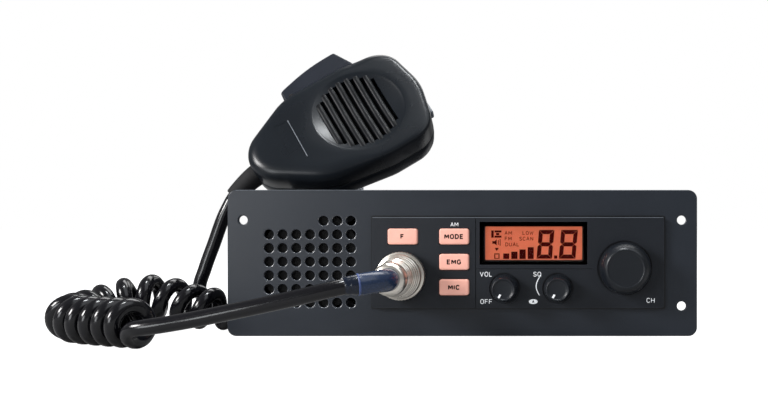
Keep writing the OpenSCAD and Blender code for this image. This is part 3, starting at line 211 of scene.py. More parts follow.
M = {
    # Pale colour for thin strips on top edges: painted highlight lines.
    "edge": moulded("painted_edge_highlight", srgb(100, 106, 114), 0.4, bump=0.1),
    # Hole mouths paler than the panel paint around them: a painted highlight.
    "lip": moulded("hole_lip_painted_highlight", srgb(58, 62, 70), 0.24, bump=0.03, spec=1.0),
    # edge_highlight below paints the edges of these surfaces paler: a painted highlight.
    "panel": moulded("panel_paint", srgb(35, 40, 48), 0.36, 0.0003, 0.2, 0.06, 0.4, edge_highlight=0.9),
    "front": moulded("front_plastic", srgb(25, 29, 36), 0.42, 0.0004, 0.3, 0.06, 0.35, edge_highlight=0.35),
    "knob": moulded("knob_plastic", srgb(22, 26, 32), 0.33, 0.0004, 0.25, 0.08, 0.4, edge_highlight=0.3),
    "mic": moulded("mic_plastic", srgb(18, 23, 29), 0.28, 0.0005, 0.04, 0.08, 0.34),
    # Ribs are the shell's own plastic, coloured darker and duller: painted shade in the dish.
    "ribs": moulded("mic_rib_plastic_shaded", srgb(13, 15, 19), 0.4, 0.0005, 0.02, 0.08, 0.2),
    "lever": moulded("lever_plastic", srgb(28, 32, 41), 0.4, 0.0005, 0.15, 0.08, 0.2, edge_highlight=0.3),
    "key": lit("key_plastic", srgb(236, 174, 158), 0.27),
    # Brown-black sheet behind the key gaps: painted shade in the gaps, tinted with the keys' backlight as painted
    # light.
    "halo": moulded("key_gap_painted_shade", srgb(40, 22, 18), 0.6),
    "lcd": lit("lcd_glass", srgb(194, 101, 74), 0.45, 0.3, 0.05),
    "segment": lit("lcd_segments", srgb(58, 8, 6), 0.25, 0.5, 0.02),
    "faint": lit("lcd_faint_segments", srgb(104, 34, 22), 0.5, 0.4, 0.02),
    "frame": moulded("display_frame", srgb(20, 22, 26), 0.3, bump=0.05),
    # White print glows by its own light though no lamp is behind it: painted light.
    "white": lit("white_print_painted_glow", srgb(226, 229, 232), 0.45, 0.5),
    "print": moulded("key_print", srgb(26, 13, 12), 0.6, bump=0.1, spec=0.1),
    "window": clear("window_plastic", (1.0, 0.98, 0.96, 1)),
    "guide": lit("light_guide", srgb(240, 225, 205), 0.1),
    "nickel": metal("nickel_plate", srgb(246, 240, 230), 0.3),
    "bright": metal("bright_steel", srgb(196, 198, 202), 0.3, (1, 6, 1)),
    "sheet": moulded("sheet_paint", srgb(62, 64, 69), 0.45, 0.0005, 0.35, 0.08, 0.45, edge_highlight=0.5),
    "zinc": metal("zinc_sheet", srgb(176, 180, 186), 0.38, (1, 1, 8), 0.12),
    "sink": metal("black_anodised", srgb(42, 43, 46), 0.42, (1, 1, 10), 0.15),
    "board": moulded("solder_mask", srgb(16, 74, 40), 0.35),
    "black": moulded("black_plastic", srgb(18, 18, 20), 0.4, 0.0004, 0.25),
    "rubber": moulded("foot_rubber", srgb(22, 22, 24), 0.75, 0.0006, 0.5),
    "cord": jacket("cord_jacket", srgb(9, 9, 14), 0.17),
    "boot": jacket("boot_rubber", srgb(34, 50, 78), 0.22),
    "tail": jacket("boot_tail_rubber", srgb(10, 20, 36), 0.22),
    # Pale blue of the boot's ring: a painted highlight on the step at the boot's end.
    "ring": jacket("boot_ring_painted_highlight", srgb(60, 76, 122), 0.3),
    "cloth": woven("speaker_weave", srgb(12, 12, 13)),
    "paper": moulded("cone_paper", srgb(20, 20, 22), 0.85, 0.0009, 0.6),
    "magnet": metal("magnet_plate", srgb(70, 70, 74), 0.5),
    # Pale grey of the microphone buttons and plate line: a painted highlight, the grey of glints spread over the whole
    # piece.
    "button": moulded("button_plastic", srgb(120, 126, 134), 0.4, 0.0004, 0.25),
}


# Shapes, in millimetres


def finish_mesh(me, sharp):
    """Smooth faces, with edges sharper than an angle kept."""
    for f in me.polygons:
        f.use_smooth = True
    me.set_sharp_from_angle(angle=math.radians(sharp))


def piece(name, points, faces, mat, body=None, slot=None, replaces=(), sharp=35):
    """A mesh piece from points in millimetres, smooth but for edges sharper than sharp, riding on body."""
    me = bpy.data.meshes.new(name)
    me.from_pydata([tuple(c * MM for c in p) for p in points], [], faces)
    me.validate()
    bm = bmesh.new()
    bm.from_mesh(me)
    bmesh.ops.remove_doubles(bm, verts=bm.verts, dist=2e-7)
    bmesh.ops.recalc_face_normals(bm, faces=bm.faces)
    bm.to_mesh(me)
    bm.free()
    finish_mesh(me, sharp)
    me.materials.append(M[mat])
    o = bpy.data.objects.new(name, me)
    bpy.context.collection.objects.link(o)
    if body:
        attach(o, body)
    if replaces:
        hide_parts(*replaces)
    return o


def grid_faces(rows, n, capped=True):
    """Faces of closed rows of n points each, with or without caps at the ends."""
    out = []
    for i in range(rows - 1):
        for k in range(n):
            a, b = i * n + k, i * n + (k + 1) % n
            out.append((a, b, b + n, a + n))
    if capped:
        out += [tuple(range(n - 1, -1, -1)), tuple(range((rows - 1) * n, rows * n))]
    return out


def circle(n):
    """Cosine and sine of n even turns."""
    return [(math.cos(2 * math.pi * k / n), math.sin(2 * math.pi * k / n)) for k in range(n)]


def lathe(profile, x, z, n):
    """Points and faces of a profile [(radius, y)] turned about the Y axis through x, z."""
    pts = [(x + r * c, y, z + r * s) for r, y in profile for c, s in circle(n)]
    return pts, grid_faces(len(profile), n)


def fluted(pts, x, z, n, depth, y0, y1, least=0.0):
    """Points of a turned shape with n flutes between two places along it, outside a least radius."""
    out = []
    for px, py, pz in pts:
        r, a = math.hypot(px - x, pz - z), math.atan2(pz - z, px - x)
        f = 1 - depth * (0.5 + 0.5 * math.cos(n * a)) / r if y0 <= py <= y1 and r > least else 1.0
        out.append((x + (px - x) * f, py, z + (pz - z) * f))
    return out


def axes(axis):
    """An axis of unit length and two directions across it."""
    a = Vector(axis).normalized()
    side = a.orthogonal().normalized()
    return a, side, a.cross(side)


def turned(profile, origin, axis, n):
    """Points and faces of a profile [(radius, distance)] turned about an axis through a place."""
    a, side, up = axes(axis)
    pts = [tuple(Vector(origin) + h * a + r * (c * side + s * up)) for r, h in profile for c, s in circle(n)]
    return pts, grid_faces(len(profile), n)


def tube(path, radius, n):
    """Points and faces of a round tube along a path, rings carried along without twist."""
    p = [Vector(q) for q in path]
    radii = radius if hasattr(radius, "__len__") else [radius] * len(p)
    up = Vector((0.3, 0.1, 1))
    pts = []
    for i, q in enumerate(p):
        d = (p[min(i + 1, len(p) - 1)] - p[max(i - 1, 0)]).normalized()
        up = (up - up.dot(d) * d).normalized()
        side = d.cross(up)
        pts += [tuple(q + radii[i] * (c * up + s * side)) for c, s in circle(n)]
    return pts, grid_faces(len(p), n)


CORNER_STEPS = 6
CORNER_POINTS = 4 * (CORNER_STEPS + 1)


def round_rect(w, h, r):
    """Outline of a rectangle with round corners, about its middle."""
    out = []
    for cx, cy, a0 in ((1, 1, 0), (-1, 1, 90), (-1, -1, 180), (1, -1, 270)):
        for k in range(CORNER_STEPS + 1):
            a = math.radians(a0 + 90 * k / CORNER_STEPS)
            out.append((cx * (w / 2 - r) + r * math.cos(a), cy * (h / 2 - r) + r * math.sin(a)))
    return out


def prism(x, z, w, h, r, levels):
    """Round-cornered block along Y: levels are (y, inset), front to back."""
    pts = []
    for y, inset in levels:
        for a, b in round_rect(w - 2 * inset, h - 2 * inset, max(r - inset, 0.05)):
            pts.append((x + a, y, z + b))
    return pts, grid_faces(len(levels), CORNER_POINTS)


def spline(points, n=10):
    """Smooth line through the points, as the part's own source draws it."""
    p = [Vector(q) for q in points]
    out = []
    for i in range(len(p) - 1):
        a, b, c, d = p[max(i - 1, 0)], p[i], p[i + 1], p[min(i + 2, len(p) - 1)]
        for k in range(n):
            s = k / n
            out.append(
                0.5 * (2 * b + (c - a) * s + (2 * a - 5 * b + 4 * c - d) * s**2 + (3 * b - a - 3 * c + d) * s**3)
            )
    out.append(p[-1])
    return out


def run_of(line):
    """Length along a line at each of its points."""
    out = [0.0]
    for a, b in zip(line, line[1:]):
        out.append(out[-1] + (b - a).length)
    return out


# Cord, near the part's own route: its lead sags a little and runs along the coil's front into the first curl,
# and the other lead leaves the microphone through a bent boot. The curls come in three runs of their own stretch.

CORD_D, CORD_SIDES = 5.8, 18
CURL_R = (18.5 - CORD_D) / 2
CURLS, STRETCH = (5, 4, 6), (1.0, 1.4, 1.3)
CURL_STEPS, CURL_PHASE, CURL_EXIT = 40, 150, 0.7
ENTRY_K, ENTRY_R, ENTRY_TURN, ENTRY_STEP = 0.25, 7, 80, 5
LEAD_STEPS = 8
BOOT_ROUTE = [(-23.7, -33, 24.3), (-23.7, -38, 24.3), (-25.6, -43, 24.2), (-30, -47.5, 23.6), (-34, -49, 23.2)]
PLUG_ROUTE = [
    (-34, -49, 23.2), (-38, -50.5, 22.4), (-44, -51.6, 21.0), (-55, -52.2, 18.4), (-67, -52.6, 15.8),
    (-79, -52.6, 13.3), (-90, -52.6, 11.1),
]
COIL_ROUTE = [
    (-104, -47.4, 9.3), (-110, -44.4, 9.3), (-124, -37.2, 9.3), (-137, -30, 9.3), (-146, -21.5, 9.3),
    (-149, -10, 9.4), (-148, 1, 10.4), (-142.5, 9.5, 13), (-133, 14.5, 15), (-122, 15.5, 13.4),
    (-112, 14, 10.8), (-103.5, 12.8, 9.5), (-97, 16, 9.3), (-94.5, 23, 9.3),
]
MIC_ROUTE = [
    (-92.6, 35, 6), (-97, 41, 3.6), (-106, 44, 3.6), (-116.3, 45, 7), (-122.2, 45, 15.5),
    (-119.9, 45.5, 25.5), (-116.1, 46, 36.5), (-112.6, 46.1, 46.5), (-109.9, 46.4, 52.6),
]
RELIEF_ROUTE = [(-107.4, 46.9, 57.2), (-103, 47.9, 62.4), (-98.5, 48.8, 66.6), (-95, 49.8, 68.8)]
coil_axis = spline(COIL_ROUTE)
coil_runs = run_of(coil_axis)
coil_l = coil_runs[-1]


def coil_at(s):
    """Place on the coil's axis, a length along it."""
    s = min(max(s, 0), coil_l)
    for i in range(len(coil_runs) - 1):
        if s <= coil_runs[i + 1]:
            f = (s - coil_runs[i]) / (coil_runs[i + 1] - coil_runs[i])
            return coil_axis[i].lerp(coil_axis[i + 1], f)
    return coil_axis[-1].copy()


def curl_share(k):
    """Stretch used up by the first k curls."""
    total, start = 0.0, 0
    for n, stretch in zip(CURLS, STRETCH):
        total += stretch * min(max(k - start, 0), n)
        start += n
    return total


def eased(v):
    """0 to 1 with soft ends."""
    q = min(max(v, 0), 1)
    return q * q * (3 - 2 * q)


def round_coil(s, a, r):
    """Place at a radius and an angle round the coil's axis."""
    ahead = (coil_at(s + 1.5) - coil_at(s - 1.5)).normalized()
    side = ahead.cross(Vector((0, 0, 1))).normalized()
    return coil_at(s) + r * (math.cos(a) * side + math.sin(a) * side.cross(ahead))


def curl_run(k):
    """Length along the coil's axis after k curls."""
    return CORD_D + (coil_l - 2 * CORD_D) * curl_share(k) / curl_share(sum(CURLS))


def curl_angle(k):
    """Angle round the coil's axis after k curls."""
    return math.radians(CURL_PHASE + 360 * k)


def curl_point(k):
    """Place on the cord after k curls; the last one closes in on the axis."""
    return round_coil(curl_run(k), curl_angle(k), CURL_R * eased((sum(CURLS) - k) / CURL_EXIT))


def entry_point(t):
    """Place on the bend from along the coil's front into its first curl, t degrees round the bend."""
    t, last = math.radians(t), math.radians(ENTRY_TURN)
    s = curl_run(ENTRY_K) - ENTRY_R * (math.sin(last) - math.sin(t))
    a = curl_angle(ENTRY_K) - ENTRY_R * (math.cos(t) - math.cos(last)) / CURL_R
    return round_coil(s, a, CURL_R)


def smoothed(line, rounds):
    """Line with each inner point drawn to its neighbours' middle."""
    for _ in range(rounds):
        line = [line[0]] + [(a + 2 * b + c) / 4 for a, b, c in zip(line, line[1:], line[2:])] + [line[-1]]
    return line


def relaxed(line, middle, reach, rounds):
    """Line with the bend round one of its points drawn out, less so farther from it."""
    line = list(line)
    for _ in range(rounds):
        old = list(line)
        for i in range(max(middle - reach, 1), min(middle + reach, len(line) - 1)):
            share = 0.5 + 0.5 * math.cos(math.pi * (i - middle) / reach)
            line[i] = old[i].lerp((old[i - 1] + 2 * old[i] + old[i + 1]) / 4, share)
    return line


coil_end = coil_at(coil_l)
coil_out = (coil_end - coil_at(coil_l - CORD_D)).normalized()
turn_in = [entry_point(t) for t in range(0, ENTRY_TURN, ENTRY_STEP)]
beyond = turn_in[0] + 14 * (turn_in[1] - turn_in[0]).normalized()
to_entry = spline(PLUG_ROUTE + [tuple(turn_in[0]), tuple(beyond)], LEAD_STEPS)
plug_line = to_entry[: LEAD_STEPS * len(PLUG_ROUTE)] + turn_in
curl_steps = range(int(ENTRY_K * CURL_STEPS) + 1, sum(CURLS) * CURL_STEPS + 1)
curl_line = [curl_point(j / CURL_STEPS) for j in curl_steps]
end_line = [curl_line[-1].lerp(coil_end, i / LEAD_STEPS) for i in range(1, LEAD_STEPS + 1)]
first_line = smoothed(plug_line + curl_line + end_line, 4)
first_line = relaxed(first_line, len(plug_line) + len(curl_line) - 6, CURL_STEPS, 30)
pts, faces = tube(first_line, CORD_D / 2, CORD_SIDES)
curly = piece("curly_cord_jacket", pts, faces, "cord", "radio", "cord_jacket", ("plug_lead", "curly_cord"), 60)

# Microphone frame: along it, across it and out of its face

MIC_POS = Vector((-98.5, 38, 72.3))
TURN, LEAN = math.radians(31), math.radians(28)
ALONG = Vector((math.cos(TURN), math.sin(TURN) * math.sin(LEAN), math.sin(TURN) * math.cos(LEAN)))
ACROSS = Vector((-math.sin(TURN), math.cos(TURN) * math.sin(LEAN), math.cos(TURN) * math.cos(LEAN)))
OUT = Vector((0, -math.cos(LEAN), math.sin(LEAN)))


def on_mic(u, v, w):
    """Place in the microphone's frame."""
    return tuple(MIC_POS + u * ALONG + v * ACROSS + w * OUT)


lead_route = [tuple(coil_end), tuple(coil_end + CORD_D * coil_out)] + MIC_ROUTE
mic_line = spline(lead_route + RELIEF_ROUTE, LEAD_STEPS)
relief_line = mic_line[LEAD_STEPS * len(lead_route):]
relief_tip = relief_line[0]
pts, faces = tube(mic_line, CORD_D / 2, CORD_SIDES)
lead = piece("mic_lead_jacket", pts, faces, "cord", None, "cord_jacket", ("mic_lead",), 60)
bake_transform(lead)

# Microphone: outline round circles, shells with walls, dish and ribs

MIC_L, MIC_SPLIT, MIC_T, MIC_WALL = 81.5, 11, 27, 2.6
MIC_CIRCLES = [(15, 0, 15), (35, 0, 26), (56, 0, 28), (67.5, 13, 14), (67.5, -13, 14)]
RAYS = 360
FACE_INSET, CRISP_AT = 6.2, math.radians(-30)
DISH_U, DISH_R, DISH_DEPTH, DISH_RIM = 53.5, 20, 3.2, 0.35
SLOT_N, SLOT_PITCH, SLOT_W, SLOT_R = 7, 4.2, 1.8, 18.2
PLATE_U, PLATE_V = (17, 23), 11
MIC_SCREWS = ((20, 0), (68, 15), (68, -15))
DIRECTIONS = 1440

SPOKES = [2 * math.pi * (k + 0.5) / RAYS for k in range(RAYS)]
SUPPORT = []
for c, s in circle(DIRECTIONS):
    SUPPORT.append((c, s, max(q[0] * c + q[1] * s + q[2] for q in MIC_CIRCLES) - DISH_U * c))


def outline(inset):
    """Outline of the microphone at an inset, on even rays from the dish's middle, as (along, across) pairs."""
    out = []
    for a in SPOKES:
        c, d = math.cos(a), math.sin(a)
        far = min((h - inset) / (c * x + d * y) for x, y, h in SUPPORT if c * x + d * y > 0.05)
        out.append((DISH_U + far * c, far * d))
    return out


def mic_edge(u):
    """Half width of the microphone at a place along it."""
    side = sorted(q for q in outline(0) if q[1] > 0)
    for a, b in zip(side, side[1:]):
        if a[0] <= u <= b[0]:
            return a[1] + (b[1] - a[1]) * (u - a[0]) / max(b[0] - a[0], 1e-6)
    return side[0][1]


def rings(levels):
    """Outline rings at (depth, inset) levels."""
    return [[(u, v, -depth) for u, v in outline(inset)] for depth, inset in levels]


def crisp(a):
    """Share of the full edge roll on a ray: less along the lower edge and the button end."""
    return 1 - 0.62 * eased((math.cos(a - CRISP_AT) + 0.2) / 0.7)


def rolled(levels):
    """Rings of the front edge's roll, tighter where crisp() says so."""
    wide, none = outline(FACE_INSET), outline(0)
    rows = []
    for depth, inset in levels:
        row = []
        for spoke, a, b in zip(SPOKES, none, wide):
            f = crisp(spoke) * inset / FACE_INSET
            row.append((a[0] + f * (b[0] - a[0]), a[1] + f * (b[1] - a[1]), -depth * crisp(spoke)))
        rows.append(row)
    return rows


def mic_piece(name, rows, mat, body, slot, replaces, sharp):
    """A piece from closed rows of points in the microphone's frame."""
    pts = [on_mic(*q) for row in rows for q in row]
    return piece(name, pts, grid_faces(len(rows), len(rows[0])), mat, body, slot, replaces, sharp)


def block_points(u0, u1, v0, v1, w0, w1):
    """Corners and faces of a box in the microphone's frame."""
    pts = [on_mic(u, v, w) for u in (u0, u1) for v in (v0, v1) for w in (w0, w1)]
    return pts, [(0, 1, 3, 2), (4, 6, 7, 5), (0, 4, 5, 1), (2, 3, 7, 6), (0, 2, 6, 4), (1, 5, 7, 3)]


def joined(parts):
    """Several (points, faces) as one."""
    pts, faces = [], []
    for p, f in parts:
        n = len(pts)
        pts += p
        faces += [tuple(i + n for i in q) for q in f]
    return pts, faces


def carve(o, cutters, sharp):
    """Cuts closed shapes out of a piece, for good."""
    tool = piece("cutter", *joined(cutters), "black")
    m = o.modifiers.new("carve", "BOOLEAN")
    m.operation, m.object, m.solver = "DIFFERENCE", tool, "EXACT"
    me = bpy.data.meshes.new_from_object(o.evaluated_get(bpy.context.evaluated_depsgraph_get()))
    o.modifiers.clear()
    o.data = me
    finish_mesh(me, sharp)
    bpy.data.objects.remove(tool)


def soften(o, width, segments=3, angle=35):
    """Rounded edges that stay as geometry."""
    b = o.modifiers.new("soft_edges", "BEVEL")
    b.width, b.segments = width * MM, segments
    b.limit_method, b.angle_limit = "ANGLE", math.radians(angle)
    b.harden_normals = True


def dish_w(r):
    """Height of the speech dish at a distance from its middle."""
    return -DISH_RIM - (DISH_DEPTH - DISH_RIM) * (1 - (r / DISH_R) ** 2)


ROLL = [(0, 6.2), (0.12, 4.9), (0.4, 3.6), (0.95, 2.3), (1.8, 1.2), (2.9, 0.45), (4.2, 0.08), (5.5, 0)]
roll = rolled(ROLL)
face_edge = [q[:2] for q in roll[0]]


def spoke_ring(r, w):
    """Ring round the dish's middle, at a height."""
    return [(DISH_U + r * math.cos(a), r * math.sin(a), w) for a in SPOKES]


dish = [spoke_ring(r, dish_w(r)) for r in (0.4, 3, 6, 9, 12, 14.5, 16.5, 18.3, 19.4, DISH_R)]
dish_edge = spoke_ring(DISH_R + 1.3, 0.0)
dish += [spoke_ring(DISH_R + 0.4, -0.21), spoke_ring(DISH_R + 0.8, -0.08), dish_edge]
between = [
    [((1 - f) * a[0] + f * b[0], (1 - f) * a[1] + f * b[1], 0.0) for a, b in zip(dish_edge, face_edge)]
    for f in (0.35, 0.7)
]
front_levels = [(10.55, 0), (10.75, 0.12), (10.85, 0.4), (MIC_SPLIT, 0.4), (MIC_SPLIT, MIC_WALL), (5.8, MIC_WALL)]
shell = mic_piece("mic_front_cover", dish + between + roll + rings(front_levels), "mic", "microphone", "mic_plastic",
                  ("mic_front_shell",), 50)
PTT_U0, PTT_U1, PTT_Z0, PTT_W, GAP = 27, 63.5, -14, 11, 0.3
ptt_floor = mic_edge((PTT_U0 + PTT_U1) / 2) - 10
ptt_box = block_points(PTT_U0 - GAP, PTT_U1 + GAP, ptt_floor, 60, PTT_Z0 - GAP, PTT_Z0 + PTT_W + GAP)
BUTTON_V, BUTTON_Z, BUTTON_L, BUTTON_W = 11, -7.5, 8, 5
button_boxes = [
    block_points(MIC_L - 6, MIC_L + 4, s * BUTTON_V - BUTTON_L / 2 - GAP, s * BUTTON_V + BUTTON_L / 2 + GAP,
                 BUTTON_Z - BUTTON_W / 2 - GAP, BUTTON_Z + BUTTON_W / 2 + GAP) for s in (-1, 1)
]
slot_us = [DISH_U + (i - (SLOT_N - 1) / 2) * SLOT_PITCH for i in range(SLOT_N)]
slots = []
for u in slot_us:
    half = math.sqrt(SLOT_R**2 - (u - DISH_U) ** 2)
    slots.append(block_points(u - SLOT_W / 2, u + SLOT_W / 2, -half, half, -7, 2))
plate = block_points(*PLATE_U, -PLATE_V, PLATE_V, -0.12, 2)
carve(shell, [ptt_box, plate] + button_boxes, 50)
carve(shell, slots, 50)

back_levels = [
    (24.2, 8.2), (21.5, 5.2), (18, 3.4), (MIC_SPLIT, MIC_WALL), (MIC_SPLIT, 0.4), (11.15, 0.4), (11.25, 0.12),
    (11.45, 0), (14.5, 0.15), (18, 0.6), (20, 1.35), (22, 2.4), (23.6, 3.6), (25, 5), (25.9, 6.2), (26.5, 7.4),
    (26.85, 8.4), (MIC_T, 9.6), (MIC_T, 12),
]
back = mic_piece("mic_back_cover", rings(back_levels), "mic", "microphone", "mic_plastic", ("mic_back_shell",), 50)
screw_holes = [turned([(2.9, -1), (2.9, 2.4)], on_mic(u, v, -MIC_T), OUT, 32) for u, v in MIC_SCREWS]
carve(back, [ptt_box] + button_boxes + screw_holes, 50)

# Ribs that stand across the dish between the slots

RIB_STEPS, RIB_LIFT, RIB_HALF, RIB_FOOT = 24, 1.25, 1.5, -2.0
RIB_SECTION = [(-1, 0.3), (-0.85, 0.7), (-0.5, 0.95), (0, 1), (0.5, 0.95), (0.85, 0.7), (1, 0.3)]
rib_parts = []
for i in range(SLOT_N):
    u = DISH_U + (i - SLOT_N / 2) * SLOT_PITCH
    half = math.sqrt((DISH_R - 0.7) ** 2 - (u - DISH_U) ** 2)
    rows = []
    for k in range(RIB_STEPS + 1):
        v = half * (2 * k / RIB_STEPS - 1)
        base = dish_w(min(math.hypot(u - DISH_U, v), DISH_R))
        lift = RIB_LIFT * (1 - (abs(v) / half) ** 6)
        wide = RIB_HALF * (1 - 0.35 * (abs(v) / half) ** 8)
        section = [(-1, RIB_FOOT)] + [(a, lift * b) for a, b in RIB_SECTION] + [(1, RIB_FOOT)]
        rows.append([(u + wide * a, v, base + b) for a, b in section])
    rib_parts.append(([on_mic(*q) for row in rows for q in row], grid_faces(len(rows), len(rows[0]))))
piece("mic_ribs", *joined(rib_parts), "ribs", "microphone", "mic_plastic", (), 60)
# Thin pale strip along the name plate's upper edge: a painted highlight line.
pts, faces = block_points(PLATE_U[1] + 0.4, PLATE_U[1] + 0.75, -PLATE_V, PLATE_V, -0.3, 0.25)
soften(piece("mic_plate_highlight_line", pts, faces, "button", "microphone", "mic_plastic"), 0.1, 2)

# Press-to-talk lever with a bowed top, buttons, strain relief

e0, e1 = mic_edge(PTT_U0), mic_edge(PTT_U1)
NOSE, LOW, HIGH, INSIDE, BOW, BOW_STEPS = 6, 5.5, 10.5, 4, 1.3, 16
top_u, top_v = PTT_U0 + 1.5, e0 + LOW
top = []
for i in range(BOW_STEPS + 1):
    f = i / BOW_STEPS
    top.append((top_u + f * (PTT_U1 - NOSE - top_u), top_v + f * (e1 + HIGH - top_v) + BOW * math.sin(math.pi * f)))
side = [(PTT_U0, e0 - INSIDE), (PTT_U0, e0 + LOW - 1)] + top + [(PTT_U1 - 1, e1 + 1), (PTT_U1, e1 - INSIDE)]
rows = [[(u, v, w) for u, v in side] for w in (PTT_Z0, PTT_Z0 + PTT_W)]
lever = mic_piece("talk_lever_cap", rows, "lever", "talk_lever", "mic_plastic", ("ptt_lever",), 25)
soften(lever, 0.9, 4, 30)
for s, name in ((1, "up"), (-1, "down")):
    pts, faces = block_points(MIC_L - 5, MIC_L + 1.6, s * BUTTON_V - BUTTON_L / 2, s * BUTTON_V + BUTTON_L / 2,
                              BUTTON_Z - BUTTON_W / 2, BUTTON_Z + BUTTON_W / 2)
    body = f"{name}_button"
    soften(piece(f"{body}_cap", pts, faces, "button", body, "button_plastic", (f"mic_{body}",)), 0.9, 4)
inward = (relief_line[1] - relief_tip).normalized()
sleeve_line = [relief_tip, relief_tip + 0.1 * inward, relief_tip + 0.35 * inward] + relief_line[1:]
sleeve_radii = [2.95, 3.7, 3.95] + [4.05 + 0.055 * i for i in range(len(relief_line) - 1)]
piece("mic_relief_sleeve", *tube(sleeve_line, sleeve_radii, 32), "rubber", "microphone", "rubber",
      ("mic_strain_relief",), 40)

# Knobs: turned profiles with flutes, and their white pointers

BEZEL_Y = -3.0
KNOB_Y1 = BEZEL_Y + 0.4
POINTER_TURN = math.radians(30)
SMALL_L, LARGE_L = 10, 12


def knob(name, x, z, profile, flutes, node, body, pointer=None):
    """Turned knob; flutes are (count, depth, first y, last y)."""
    pts, faces = lathe(profile, x, z, 144)
    piece(name, fluted(pts, x, z, *flutes), faces, "knob", body, "knob_plastic", (node,), 32)
    if pointer:
        face_y, r0, r1, width = pointer
        d = Vector((-math.sin(POINTER_TURN), 0, -math.cos(POINTER_TURN)))
        s = Vector((d.z, 0, -d.x))
        rows = []
        for y, inset in ((face_y - 0.06, 0.05), (face_y + 0.3, 0)):
            for r, q in ((r0 + inset, -1), (r1 - inset, -1), (r1 - inset, 1), (r0 + inset, 1)):
                v = Vector((x, y, z)) + r * d + q * (width / 2 - inset) * s
                rows.append(tuple(v))
        piece(name + "_pointer", rows, grid_faces(2, 4), "white", body, "knob_plastic")


def knob_profile(y0, face, foot):
    """Profile of a knob: (radius, distance) from its front and from its back."""
    return [(r, y0 + d) for r, d in face] + [(r, KNOB_Y1 + d) for r, d in foot]


y0 = KNOB_Y1 - SMALL_L
small = knob_profile(
    y0, [(0.01, 0.5), (3.1, 0.5), (3.55, 0.42), (3.8, 0.2), (4.0, 0.04), (4.2, 0), (4.4, 0.08), (4.55, 0.35),
         (4.75, 1.2), (5.0, 3.2), (5.3, 6.6), (5.45, 8), (5.5, 8.4)],
    [(5.5, -0.3), (5.3, 0), (3.2, 0), (3.1, -5.9), (0.01, -5.9)],
)
for name, x in (("volume", 17.2), ("squelch", 38.3)):
    knob(f"{name}_knob_cap", x, 19.3, small, (36, 0.22, y0 + 1.1, y0 + 7), f"{name}_knob", f"{name}_control",
         (y0 + 0.2, 2.2, 3.75, 0.8))
y0 = KNOB_Y1 - LARGE_L
large = knob_profile(
    y0, [(0.01, 0.12), (6.6, 0.14), (6.9, 0.12), (7.0, 0.05), (7.1, 0), (7.45, 0.02), (7.75, 0.2), (8.4, 0.9),
         (9.1, 1.9), (9.6, 2.9), (9.9, 3.8), (10.05, 4.6), (10.15, 6), (10.2, 10)],
    [(10.2, -0.4), (9.9, 0), (3.3, 0), (3.1, -5.9), (0.01, -5.9)],
)
knob("channel_knob_cap", 64.9, 27.4, large, (60, 0.2, y0 + 4.5, y0 + 10.1), "channel_knob", "channel_control")

# Keys, lit from behind, with plain legends

KEY_W, KEY_H = 11.7, 6.3
KEYS = [
    ("function", -23.5, 39.9, "F"), ("upper", -3.0, 39.9, "MODE"), ("middle", -3.0, 29.8, "EMG"),
    ("lower", -3.0, 19.7, "MIC"),
]
KEY_LEVELS = [(-3.8, 0.75), (-3.78, 0.45), (-3.7, 0.2), (-3.55, 0.05), (-3.35, 0), (-0.4, 0), (0.7, 0)]
GLYPH_H = 6
ROUND = [(1.3, 0), (0.4, 0.8), (0, 2), (0, 4), (0.4, 5.2), (1.3, 6), (3.1, 6), (4, 5.2), (4.4, 4), (4.4, 2), (4, 0.8),
         (3.1, 0), (1.3, 0)]
GLYPHS = {
    "A": [[(0, 0), (2.4, 6), (4.8, 0)], [(0.9, 2), (3.9, 2)]],
    "C": [[(4.2, 4.9), (3.1, 6), (1.3, 6), (0.3, 5.1), (0, 4), (0, 2), (0.3, 0.9), (1.3, 0), (3.1, 0), (4.2, 1.1)]],
    "D": [[(0, 0), (0, 6), (2.3, 6), (3.7, 5.2), (4.3, 3.8), (4.3, 2.2), (3.7, 0.8), (2.3, 0), (0, 0)]],
    "E": [[(3.8, 0), (0, 0), (0, 6), (3.8, 6)], [(0, 3.1), (3.3, 3.1)]],
    "F": [[(0, 0), (0, 6), (3.8, 6)], [(0, 3.1), (3.3, 3.1)]],
    "G": [[(4.2, 5), (3.1, 6), (1.3, 6), (0.3, 5.1), (0, 4), (0, 2), (0.3, 0.9), (1.3, 0), (3.2, 0), (4.3, 0.8),
           (4.3, 2.8), (2.6, 2.8)]],
    "H": [[(0, 0), (0, 6)], [(4.3, 0), (4.3, 6)], [(0, 3.1), (4.3, 3.1)]],
    "I": [[(0, 0), (0, 6)]],
    "L": [[(0, 6), (0, 0), (3.6, 0)]],
    "M": [[(0, 0), (0, 6)], [(5.4, 0), (5.4, 6)], [(0.2, 6), (2.7, 2), (5.2, 6)]],
    "N": [[(0, 0), (0, 6)], [(4.4, 0), (4.4, 6)], [(0.2, 6), (4.2, 0)]],
    "O": [ROUND],
    "Q": [ROUND, [(2.7, 1.7), (4.6, -0.5)]],
    "S": [[(4, 5), (3, 6), (1.2, 6), (0.2, 5.2), (0.2, 4.1), (1, 3.4), (3, 2.8), (4, 2.1), (4, 0.9), (3, 0),
           (1.1, 0), (0, 1)]],
    "U": [[(0, 6), (0, 1.6), (0.5, 0.5), (1.5, 0), (2.8, 0), (3.8, 0.5), (4.3, 1.6), (4.3, 6)]],
    "V": [[(0, 6), (2.3, 0), (4.6, 6)]],
    "W": [[(0, 6), (1.5, 0), (3.1, 5), (4.7, 0), (6.2, 6)]],
}


